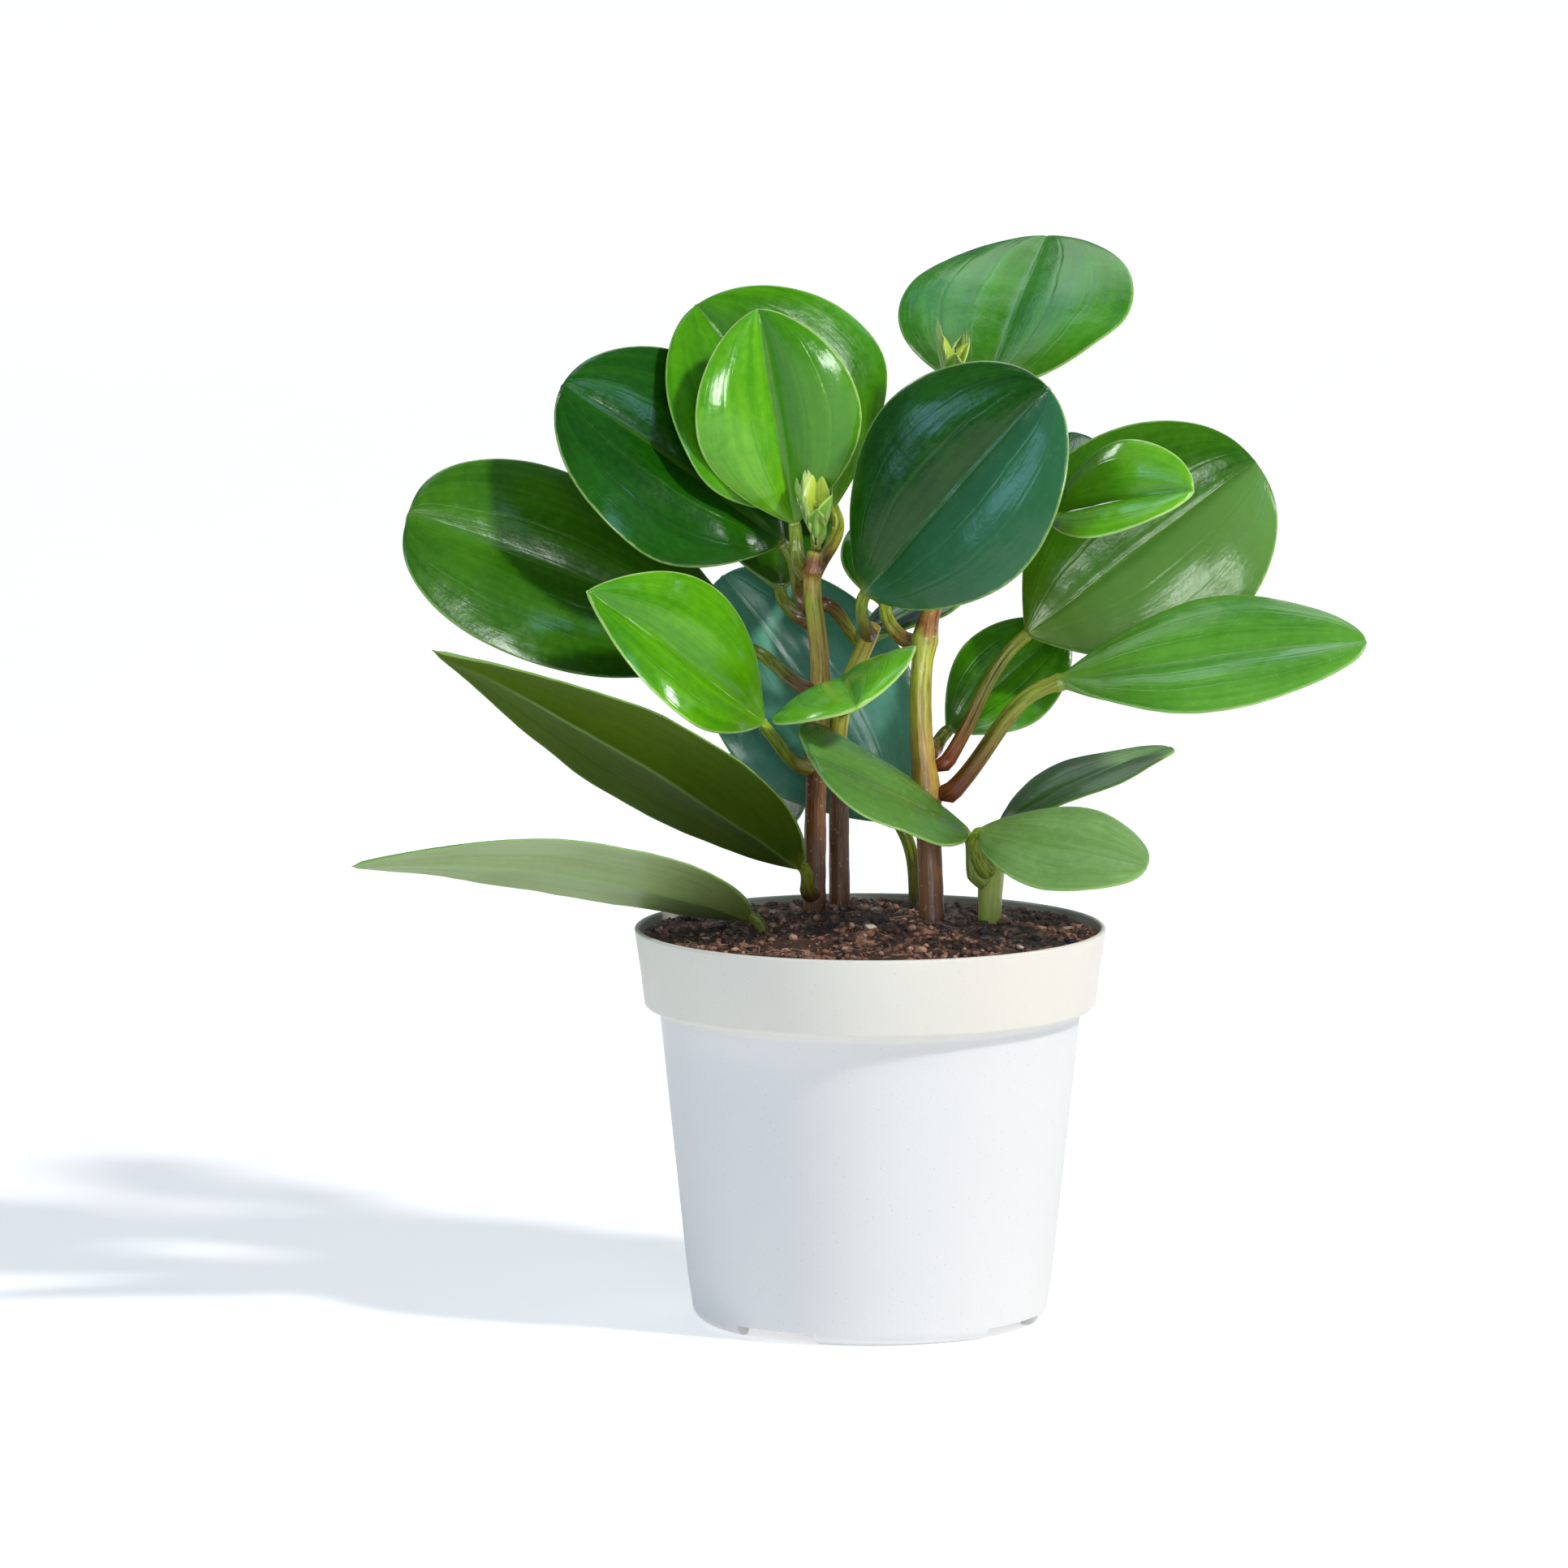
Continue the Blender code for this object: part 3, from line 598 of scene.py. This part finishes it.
def bladeHalf(leaf, share):
    if share < leaf["widest"]:
        full = max(0.0, sin(pi / 2 * share / leaf["widest"])) ** leaf["base"]
    else:
        full = max(0.0, cos(pi / 2 * (share - leaf["widest"]) / (1 - leaf["widest"]))) ** leaf["tip"]
    return leaf["width"] / 2 * full


def bladeLine(leaf, rows):
    # the midrib from the blade's base at the origin: (centre, along, side, normal, share) at each row
    length, turn, rise = leaf["blade"]
    chord = heading(turn, rise)
    side = Vector((-sin(radians(turn)), cos(radians(turn)), 0))
    normal = chord.cross(side)
    roll, bend = radians(leaf["roll"]), radians(leaf["bend"])
    side, normal = side * cos(roll) + normal * sin(roll), normal * cos(roll) - side * sin(roll)
    line, centre, before = [], Vector(), 0.0
    for row in range(rows + 1):
        share = 0.5 - 0.5 * cos(pi * row / rows)
        lift = bend * (0.5 - (share + before) / 2)
        centre = centre + (chord * cos(lift) + normal * sin(lift)) * (length * (share - before))
        before = share
        lift = bend * (0.5 - share)
        along = (chord * cos(lift) + normal * sin(lift)).normalized()
        line.append((centre.copy(), *frameAlong(along, side), share))
    return line


def outwardWay(leaf):
    # the way a petiole leaves its stem, or the soil
    return heading(leaf["petiole"][1], 0) if leaf["leaving"] == "side" else Vector((0, 0, 1))


def petioleLine(leaf, blade, rows):
    # a smooth bend from the stem to the blade's base, at the origin: (centre, along, side, normal, t)
    length, turn, rise = leaf["petiole"]
    lean = heading(turn, rise)
    root = lean * -length
    leaving = (outwardWay(leaf) * leaf["spring"] + lean * (1.3 - leaf["spring"])) * length
    arriving = blade[0][1] * length
    line = []
    for row in range(rows):
        t = row / rows
        centre = root * (2 * t ** 3 - 3 * t ** 2 + 1) + leaving * (t ** 3 - 2 * t ** 2 + t)
        centre += arriving * (t ** 3 - t ** 2)
        along = root * (6 * t ** 2 - 6 * t) + leaving * (3 * t ** 2 - 4 * t + 1)
        along += arriving * (3 * t ** 2 - 2 * t)
        line.append((centre, *frameAlong(along, blade[0][2]), t))
    return line


def petiolePoint(leaf, station, around):
    # one point of the petiole in mm, with how far it is from the middle and from the edge
    centre, along, side, normal, share = station
    across, lean = cos(2 * pi * around), sin(2 * pi * around)
    neck = leaf["neck"]
    swell = 1 + leaf["flare"] * exp(-share * leaf["petiole"][0] / 2.2)
    wide = neck * (1.1 - 0.1 * share) * swell
    deep = neck * (1.0 - 0.15 * share) * swell
    channel = 0.28 * neck * exp(-(across / 0.4) ** 2) * max(0.0, lean) * min(1, share * 4)
    return centre + side * (wide * across) + normal * (deep * lean - channel), wide * across, neck


def bladePoint(leaf, station, around):
    # one point of the blade in mm, with how far it is from the midrib and from the margin
    centre, along, side, normal, share = station
    across, lean = cos(2 * pi * around), sin(2 * pi * around)
    neck = leaf["neck"]
    half = max(bladeHalf(leaf, share), 0.4, neck * (1 - 6 * share))
    thick = max(leaf["thick"], neck * (1 - 5 * share)) * min(1.0, half / 2)
    reach = half * across
    fold, flat = radians(leaf["fold"]), min(1.0, share * 6)
    lift = half * (abs(across) * sin(fold) - leaf["curl"] * across ** 2)
    lift += half * leaf["lobe"] * sin(pi * abs(across) ** 0.85) * flat
    lift += leaf["furrows"] * cos(6.4 * pi * abs(across)) * (1 - abs(across)) * flat * min(1, half / 10)
    edge = half * (1 - abs(across))
    body = thick * (1 if lean > 0 else -1) * abs(lean) ** leaf["margin"]
    if lean > 0:
        body -= leaf["groove"] * flat * exp(-(reach / 1.1) ** 2) * (1 - share) ** 0.4
    else:
        body -= leaf["keel"] * flat * exp(-(reach / 1.7) ** 2) * (1 - share) ** 0.8
    sway = sin(2 * pi * (leaf["waves"] * share + leaf["phase"] + (0.37 if across > 0 else 0)))
    lift += leaf["wave"] * half * 2 * across ** 2 * sway * flat
    spot = centre + side * reach
    lift += leaf["quilt"] * noise.noise(spot * 0.055 + Vector((leaf["seed"], 0, 0))) * flat * min(1, half / 8)
    lift += leaf["ripple"] * noise.noise(spot * 0.21 + Vector((0, leaf["seed"], 0))) * flat * min(1, half / 8)
    point = centre + side * (reach * cos(fold)) + normal * (body + lift)
    dent = leaf["notch"] * exp(-(across / 0.22) ** 2) * exp(-((1 - share) / 0.05) ** 2)
    return point - along * dent, reach, edge


def leafLayers(work):
    # what the skin's material reads at each point: all are in mm or shares, not colours
    return {key: work.verts.layers.float.new(key) for key in ("along", "across", "top", "reach", "edge")}


def growLeaf(work, leaf, layers):
    petioleRows, bladeRows = leaf["rows"]
    blade = bladeLine(leaf, bladeRows)
    petiole = petioleLine(leaf, blade, petioleRows)
    rows = len(petiole) + len(blade)

    def place(vertex, along, around):
        row = round(along * (rows - 1))
        onBlade = row >= petioleRows
        station = blade[row - petioleRows] if onBlade else petiole[row]
        point, reach, edge = (bladePoint if onBlade else petiolePoint)(leaf, station, around)
        if row in (0, rows - 1):
            point = station[0] + station[1] * (0.25 if row else 0)
        vertex.co = point * millimetre
        vertex[layers["along"]] = station[4] if onBlade else station[4] - 1
        vertex[layers["across"]] = cos(2 * pi * around)
        vertex[layers["top"]] = sin(2 * pi * around)
        vertex[layers["reach"]] = reach
        vertex[layers["edge"]] = edge

    rolledGrid(work, rows - 1, leaf["columns"], place)


def makeLeaf(name, number, petiole, blade, width, look, **shape):
    # petiole and blade are each a length, a heading and a rise, and the number seeds the leaf's own pattern
    leaf = {**leafShape, "petiole": petiole, "blade": blade, "width": width, "seed": number * 0.37, **shape}
    work = bmesh.new()
    layers = leafLayers(work)
    growLeaf(work, leaf, layers)
    moveOnto(work, name)
    # the petiole's foot reaches back into its stem
    for vertex in work.verts:
        fromFoot = (vertex[layers["along"]] + 1) * petiole[0]
        if fromFoot < leafShape["footReach"]:
            sink = leaf["sunk"] * (1 - fromFoot / leafShape["footReach"])
            vertex.co -= outwardWay(leaf) * sink * millimetre
    full = {**leafLook, **(youngLook if look.get("young") else {}), **look}
    mesh = meshFrom(work, name + "Skin", [leafSkin(name, full, number * 1.7)])
    finishPiece(name + "Skin", mesh, [name])


def leafSkin(name, look, seed):
    nodes = Nodes(name + "Skin")
    along, across = nodes.attribute("along"), nodes.attribute("across")
    top, reach, edge = nodes.attribute("top"), nodes.attribute("reach"), nodes.attribute("edge")
    wide = nodes.sum("ABSOLUTE", across)
    broad = nodes.cloud(34, 3, 0.5)
    fine = nodes.cloud(420, 3, 0.6)

    # the fine veins run lengthwise, beside the midrib
    lengthwise = nodes.combine(nodes.sum("MULTIPLY", across, 7.0), nodes.sum("MULTIPLY", along, 1.3), top)
    streaks = nodes.cloud(1.0, 4, 0.6, nodes.shift(lengthwise, seed))
    sway = nodes.spread(broad, 0.2, 0.8, -0.15, 0.15, False)
    phase = nodes.sum("ADD", nodes.sum("MULTIPLY", wide, 3.2), sway)
    line = nodes.spread(nodes.sum("PINGPONG", phase, 0.5), 0.0, 0.10, 1.0, 0.0)
    line = nodes.sum("MULTIPLY", line, nodes.spread(wide, 0.5, 0.9, 1.0, 0.0))
    line = nodes.sum("MULTIPLY", line, nodes.spread(along, 0.02, 0.15))
    midrib = nodes.spread(nodes.sum("ABSOLUTE", reach), 0.35, 1.0, 1.0, 0.0)
    midrib = nodes.sum("MULTIPLY", midrib, nodes.spread(along, 0.55, 1.0, 1.0, 0.0))

    patches = nodes.sum("ADD", nodes.spread(broad, 0.3, 0.7), nodes.spread(streaks, 0.3, 0.7))
    patches = nodes.sum("MULTIPLY", patches, look["mottle"] / 2)
    patches = nodes.sum("ADD", patches, nodes.spread(fine, 0.35, 0.65, -0.1, 0.1, False))
    upper = nodes.blend(patches, look["deep"], look["fresh"])
    # painted light and shade: one side of the midrib takes a painted tint, darker where the half is in shade,
    # paler for a sheen, bluish for a sky reflection
    if look["paintedLightShare"]:
        side = nodes.sum("MULTIPLY", across, look["paintedLightSide"])
        half = nodes.spread(side, -0.06, 0.14, 0.0, look["paintedLightShare"])
        upper = nodes.blend(half, upper, look["half"])
    upper = nodes.blend(nodes.sum("MULTIPLY", line, look["vein"]), upper, look["rib"])
    upper = nodes.blend(nodes.sum("MULTIPLY", midrib, look["ribShare"]), upper, look["rib"])
    lower = nodes.blend(patches, look["underDeep"], look["under"])
    lower = nodes.blend(nodes.sum("MULTIPLY", line, 0.12), lower, look["underDeep"])
    lower = nodes.blend(nodes.sum("MULTIPLY", midrib, 0.6), lower, look["rim"])
    isTop = nodes.spread(top, -0.12, 0.12)
    blade = nodes.blend(isTop, lower, upper)
    heel = nodes.sum("MULTIPLY", nodes.spread(along, 0.0, 0.42, 1.0, 0.0), look["heelShare"])
    blade = nodes.blend(heel, blade, look["heel"])
    ragged = nodes.sum("ADD", edge, nodes.spread(fine, 0.3, 0.7, -0.15, 0.15))
    rim = nodes.spread(ragged, *look["rimWidth"], 1.0, 0.0)
    blade = nodes.blend(nodes.sum("MULTIPLY", rim, look["rimShare"]), blade, look["rim"])

    # the petiole turns from the stem's colour to the blade's
    streakPoint = nodes.combine(across, top, nodes.sum("MULTIPLY", along, 1.4))
    stalkStreaks = nodes.cloud(3.0, 4, 0.6, streakPoint)
    stalk = nodes.blend(nodes.spread(along, -1.0, -0.15), look["petioleFrom"], look["petioleTo"])
    stalkDark = nodes.spread(stalkStreaks, 0.46, 0.64, 0.0, 0.7)
    stalk = nodes.blend(stalkDark, stalk, (0.40, 0.22, 0.12), "MULTIPLY")
    colour = nodes.blend(nodes.spread(along, -0.03, 0.05), stalk, blade)

    rough = nodes.spread(fine, 0.3, 0.7, *look["rough"], False)
    under = nodes.spread(fine, 0.3, 0.7, look["underRough"] - 0.06, look["underRough"] + 0.08, False)
    isUnder = nodes.sum("SUBTRACT", 1.0, isTop)
    rough = nodes.sum("ADD", nodes.sum("MULTIPLY", isTop, rough), nodes.sum("MULTIPLY", isUnder, under))
    grain = nodes.bump(nodes.cells(850), 0.10, 0.00025)
    veined = nodes.sum("SUBTRACT", streaks, nodes.sum("MULTIPLY", line, 0.4))
    relief = nodes.bump(veined, 0.30, 0.0006, grain)
    nodes.shader.inputs["IOR"].default_value = 1.38
    nodes.shader.inputs["Specular IOR Level"].default_value = look["shine"]
    nodes.shader.inputs["Coat Weight"].default_value = look["gloss"]
    nodes.shader.inputs["Coat Roughness"].default_value = 0.16
    nodes.shader.inputs["Subsurface Weight"].default_value = 0.07
    nodes.shader.inputs["Subsurface Radius"].default_value = (0.6, 1.0, 0.15)
    nodes.shader.inputs["Subsurface Scale"].default_value = look["glowDepth"]
    return nodes.set(Base_Color=colour, Roughness=rough, Normal=relief)


# each look changes a few of leafLook's values
young = {"young": True}
darkest = {"deep": (0.003, 0.042, 0.001), "fresh": (0.014, 0.105, 0.002), "heel": (0.014, 0.075, 0.001)}
rustStalk = {"petioleFrom": (0.17, 0.040, 0.014), "petioleTo": (0.24, 0.29, 0.03)}
middling = {"deep": (0.025, 0.15, 0.002), "fresh": (0.09, 0.33, 0.004)}
fresher = {"deep": (0.030, 0.170, 0.002), "fresh": (0.100, 0.370, 0.006), "shine": 0.35, "gloss": 0.04}
dusky = {"deep": (0.016, 0.085, 0.002), "fresh": (0.055, 0.190, 0.006)}
greenStalk = {"petioleFrom": (0.26, 0.36, 0.05), "petioleTo": (0.24, 0.36, 0.04)}
# a paler grey-green, with a green petiole
greyGreen = {"deep": (0.050, 0.150, 0.018), "fresh": (0.120, 0.270, 0.055), **greenStalk}
pale = {"deep": (0.045, 0.20, 0.010), "fresh": (0.130, 0.36, 0.045), "vein": 0.2}
chalky = {"under": (0.30, 0.40, 0.19), "underDeep": (0.20, 0.28, 0.10), "heel": (0.11, 0.16, 0.02),
          "heelShare": 0.8}
# painted light: a blue sky reflection painted into the green, which is also lightened to make up for the
# shade the leaf sits in
blueReflectionGreen = {"deep": (0.085, 0.280, 0.200), "fresh": (0.160, 0.450, 0.340), "shine": 0.2, "gloss": 0.03}
soft = {"deep": (0.105, 0.220, 0.050), "fresh": (0.215, 0.380, 0.130), "shine": 0.15, "gloss": 0.02,
        **greenStalk}
lively = {"young": True, "deep": (0.075, 0.310, 0.006), "fresh": (0.190, 0.500, 0.030)}
# young green with a painted shade darkening one half of the blade
youngShadedHalf = {"young": True, "deep": (0.060, 0.280, 0.004), "fresh": (0.190, 0.520, 0.020),
           "half": (0.022, 0.150, 0.001), "paintedLightSide": -1, "paintedLightShare": 0.6}
# darkest green with a painted blue reflection on one half
darkestBlueReflectionHalf = {**darkest, "half": (0.045, 0.200, 0.100), "paintedLightSide": -1, "paintedLightShare": 0.45}
midGreen = {"deep": (0.020, 0.140, 0.004), "fresh": (0.065, 0.290, 0.014), "shine": 0.3, "gloss": 0.03}
olive = {"under": (0.085, 0.150, 0.005), "underDeep": (0.050, 0.095, 0.002), "heel": (0.035, 0.065, 0.001),
         "underRough": 0.62, "shine": 0.12, "gloss": 0.0}
# dusky green with a painted pale sheen on one half
duskyPaleSheenHalf = {**dusky, **rustStalk, "shine": 0.25, "gloss": 0.02,
            "half": (0.12, 0.26, 0.06), "paintedLightSide": -1, "paintedLightShare": 0.7}
# name, number, (length, heading, rise) of the petiole and of the blade, width, look, changes to leafShape
leaves = [
    ("leaf_top_right", 1, (12, 50, 39), (75, 75, 27), 62, midGreen,
     {"bend": 14, "tip": 0.46, "base": 0.6, "groove": 0.15, "fold": 4}),
    ("leaf_front_dark", 2, (13, -96, 62), (74, -19, 48), 60, darkestBlueReflectionHalf,
     {"roll": 75, "notch": 3.0, "base": 0.65, "tip": 0.46, "widest": 0.52}),
    ("leaf_front_bright", 3, (14, 130, 72), (57, 196, 80), 46, youngShadedHalf,
     {"roll": -101, "fold": 20, "tip": 0.6, "widest": 0.5, "lobe": 0.12}),
    ("leaf_folded_top", 4, (22, 76, 38), (64, 176, 56), 68, fresher,
     {"roll": -62, "fold": 24, "widest": 0.46}),
    ("leaf_upper_left", 5, (19, 128, 56), (72, -169, 36), 62, darkest, {"roll": -56, "tip": 0.48}),
    ("leaf_far_left", 6, (20, 150, 28), (98, -170, 22), 56, dusky,
     {"roll": -60, "tip": 0.36, "widest": 0.6, "groove": 0.12, "fold": 3}),
    ("leaf_small_left", 7, (20, -140, 40), (64, -150, 36), 43, young,
     {"roll": -66, "fold": 22, "tip": 0.8, "lobe": 0.12}),
    ("leaf_small_centre", 8, (11, -86, 52), (38, -85, -4), 42, lively, {"roll": 27, "bend": 25}),
    ("leaf_low_front_left", 9, (14, -151, 72), (53, -148, 26), 46, greyGreen,
     {"roll": -28, "widest": 0.7, "tip": 0.28, "base": 0.6, "fold": 2, "groove": 0.15}),
    ("leaf_low_front_right", 10, (12, -108, 64), (47, -25, -8), 31, soft,
     {"roll": 34, "tip": 0.45, "base": 0.6, "groove": 0.15, "fold": 3}),
    ("leaf_low_right_back", 11, (12, 80, 48), (56, 33, 17), 32, soft, {"fold": 10}),
    ("leaf_centre_back", 12, (34, 126, 76), (79, 172, 54), 56, blueReflectionGreen, {"roll": -60, "leaving": "soil"}),
    ("leaf_left_underside", 13, (11, -109, 53), (117, -160, 31), 52, olive,
     {"roll": 25, "widest": 0.34, "tip": 0.95, "base": 0.65}),
    ("leaf_lowest_left", 14, (12, -166, 66), (107, -165, 9), 46, chalky,
     {"roll": 24, "bend": 24, "widest": 0.32, "tip": 0.8, "base": 0.55, "leaving": "soil"}),
    ("leaf_right_upper", 15, (42, 20, 55.5), (75, 11, 36), 62, duskyPaleSheenHalf,
     {"roll": 70, "tip": 0.42, "spring": 0.1, "groove": 0.1, "fold": 3}),
    ("leaf_small_right", 16, (25, -31, 0), (44, -31, 12), 33, lively,
     {"roll": 50, "fold": 25, "tip": 0.45, "lobe": 0.12}),
    ("leaf_far_right", 17, (43.5, -11, 46), (80, -4, 8), 42, {**pale, **rustStalk},
     {"roll": 37, "neck": 2.3, "tip": 0.55, "spring": 0.1}),
    ("leaf_right_shaded", 18, (10, 62, 27), (42, 25, 37), 28, middling, {"roll": 60}),
    ("leaf_back_centre", 19, (18, 34, -38), (36, 40, 20), 26, {}, {}),
    ("leaf_back_high", 20, (14, 130, 32), (46, 98, 45), 32, {}, {}),
    ("leaf_back_middle", 21, (12, 150, 50), (36, 84, 40), 26, {}, {}),
    ("leaf_back_right", 22, (14, 55, 20), (60, 62, 26), 42, {}, {}),
    ("leaf_back_left", 23, (14, 115, 20), (60, 122, 13), 40, {}, {}),
]


# Growing tips: a few small folded leaflets about one point, each a rise, length, width, heading and slope

tips = {
    "tip_left": [(0, 18.975, 9.375, 88, 84), (1.0, 13.8, 8.125, 160, 66), (0.5, 12.65, 7.5, -30, 70),
                 (0.2, 9.775, 6.25, -90, 62)],
    "tip_right": [(0, 15.525, 8.75, 160, 76), (0.6, 12.65, 6.875, 40, 62), (0.3, 10.35, 6.25, -80, 60)],
}
tipShape = {
    "bend": -14, "fold": 34, "tip": 0.8, "thick": 0.45, "groove": 0.1, "keel": 0.25, "quilt": 0.1,
    "wave": 0.0, "neck": 0.9, "leaving": "end", "rows": (6, 34), "columns": 36,
}
tipLook = {"deep": (0.34, 0.48, 0.03), "fresh": (0.62, 0.70, 0.10), "vein": 0.0}


def makeTip(name):
    work = bmesh.new()
    layers = leafLayers(work)
    for number, (rise, length, width, turn, slope) in enumerate(tips[name]):
        leaf = {**leafShape, **tipShape, "petiole": (2.6, turn, 80), "blade": (length, turn, slope),
                "width": width, "seed": number}
        started = len(work.verts)
        growLeaf(work, leaf, layers)
        work.verts.ensure_lookup_table()
        toFoot = Vector((0, 0, rise)) + heading(turn, 80) * leaf["petiole"][0]
        bmesh.ops.translate(work, verts=work.verts[started:], vec=toFoot * millimetre)
    low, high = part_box(name)
    foot = Vector(((low[0] + high[0]) / 2, (low[1] + high[1]) / 2, low[2]))
    bmesh.ops.translate(work, verts=work.verts, vec=foot)
    skin = leafSkin(name, {**leafLook, **youngLook, **tipLook}, 3.0)
    finishPiece(name + "Skin", meshFrom(work, name + "Skin", [skin]), [name])


# Floor, light and camera

view = {"target": (-0.0223, 0, 0.1396), "away": 3.0, "pitch": 7.6, "wide": 0.4053, "sensor": 36.0}


def makeStage():
    work = bmesh.new()
    bmesh.ops.create_circle(work, cap_ends=True, segments=96, radius=12)
    nodes = Nodes("paper")
    tone = nodes.blend(nodes.cloud(1.5, 3), (0.80, 0.80, 0.80), (0.84, 0.84, 0.84))
    nodes.shader.inputs["Emission Color"].default_value = (1, 1, 1, 1)
    glow = nodes.spread(nodes.farness(), 0.3, 4.0, *light["floorGlow"])
    nodes.set(Emission_Strength=glow)
    nodes.set(Base_Color=tone, Roughness=nodes.spread(nodes.cloud(40, 2), 0.3, 0.7, 0.7, 0.9))
    floor = bpy.data.objects.new("floorSheet", meshFrom(work, "floorSheet", [nodes.material]))
    bpy.context.scene.collection.objects.link(floor)


light = {
    "floorGlow": (0.42, 0.86), "sky": (0.62, 0.80, 1.0), "skyStrength": 0.20, "aim": (0, 0, 0.15),
    # name: heading (degrees, 0 towards the camera, 90 to the right), rise, distance, size, power, colour
    "lamps": {
        "key": (58, 44, 2.9, 0.3, 78, (1.0, 0.965, 0.91)),
        "skyLeft": (-50, 38, 2.4, 1.0, 14, (0.64, 0.82, 1.0)),
        "front": (5, 16, 3.4, 1.0, 12, (1.0, 1.0, 1.0)),
        "behind": (170, 48, 2.3, 1.4, 8, (1.0, 1.0, 1.0)),
    },
    # these only show in the gloss, as windows do
    "windows": {
        "blueLeft": (-58, 20, 2.2, 0.7, 7, (0.35, 0.66, 1.0)),
        "blueRight": (44, 34, 2.2, 0.6, 5, (0.35, 0.66, 1.0)),
        "blueBack": (-166, 58, 2.2, 1.0, 4, (0.40, 0.68, 1.0)),
        "whiteRight": (88, 24, 2.2, 0.4, 22, (1.0, 1.0, 1.0)),
        "whiteFront": (12, 14, 2.4, 0.7, 36, (1.0, 1.0, 1.0)),
        "whiteLeft": (-107, 42, 2.2, 0.4, 9, (1.0, 1.0, 1.0)),
        "sheenBack": (-135, 68, 2.2, 0.9, 4.5, (0.9, 1.0, 0.95)),
    },
}


def addLamp(name, settings, inGloss, inDiffuse):
    turn, rise, away, size, power, colour = settings
    data = bpy.data.lights.new(name, "AREA")
    data.shape, data.size, data.energy, data.color = "DISK", size, power, colour
    lamp = bpy.data.objects.new(name, data)
    aim = Vector(light["aim"])
    lamp.location = aim + heading(turn - 90, rise) * away
    lamp.rotation_euler = (aim - lamp.location).to_track_quat("-Z", "Y").to_euler()
    lamp.visible_camera, lamp.visible_glossy, lamp.visible_diffuse = False, inGloss, inDiffuse
    bpy.context.scene.collection.objects.link(lamp)


def lightScene():
    for name, settings in light["lamps"].items():
        addLamp(name, settings, name == "behind", True)
    for name, settings in light["windows"].items():
        addLamp(name, settings, True, False)
    world = bpy.data.worlds.new("studio")
    world.use_nodes = True
    tree = world.node_tree
    dim = tree.nodes["Background"]
    dim.inputs[0].default_value = (*light["sky"], 1)
    dim.inputs[1].default_value = light["skyStrength"]
    bright = tree.nodes.new("ShaderNodeBackground")
    bright.inputs[0].default_value = (1, 1, 1, 1)
    choose = tree.nodes.new("ShaderNodeMixShader")
    tree.links.new(tree.nodes.new("ShaderNodeLightPath").outputs["Is Camera Ray"], choose.inputs[0])
    tree.links.new(dim.outputs[0], choose.inputs[1])
    tree.links.new(bright.outputs[0], choose.inputs[2])
    tree.links.new(choose.outputs[0], tree.nodes["World Output"].inputs[0])
    bpy.context.scene.world = world
    bpy.context.scene.view_settings.view_transform = "Standard"


def placeCamera():
    data = bpy.data.cameras.new("camera")
    data.sensor_width = view["sensor"]
    data.lens = view["sensor"] * view["away"] / view["wide"]
    data.clip_start, data.clip_end = 0.1, 50
    camera = bpy.data.objects.new("camera", data)
    target, pitch = Vector(view["target"]), radians(view["pitch"])
    camera.location = target + Vector((0, -cos(pitch), sin(pitch))) * view["away"]
    camera.rotation_euler = (pi / 2 - pitch, 0, 0)
    bpy.context.scene.collection.objects.link(camera)
    bpy.context.scene.camera = camera


makePot()
makeSoil()
for name in stems:
    makeStem(name)
print("stems made")
for name, number, petiole, blade, width, look, shape in leaves:
    makeLeaf(name, number, petiole, blade, width, look, **shape)
print("leaves made")
for name in tips:
    makeTip(name)
print("tips made")
makeStage()
lightScene()
placeCamera()
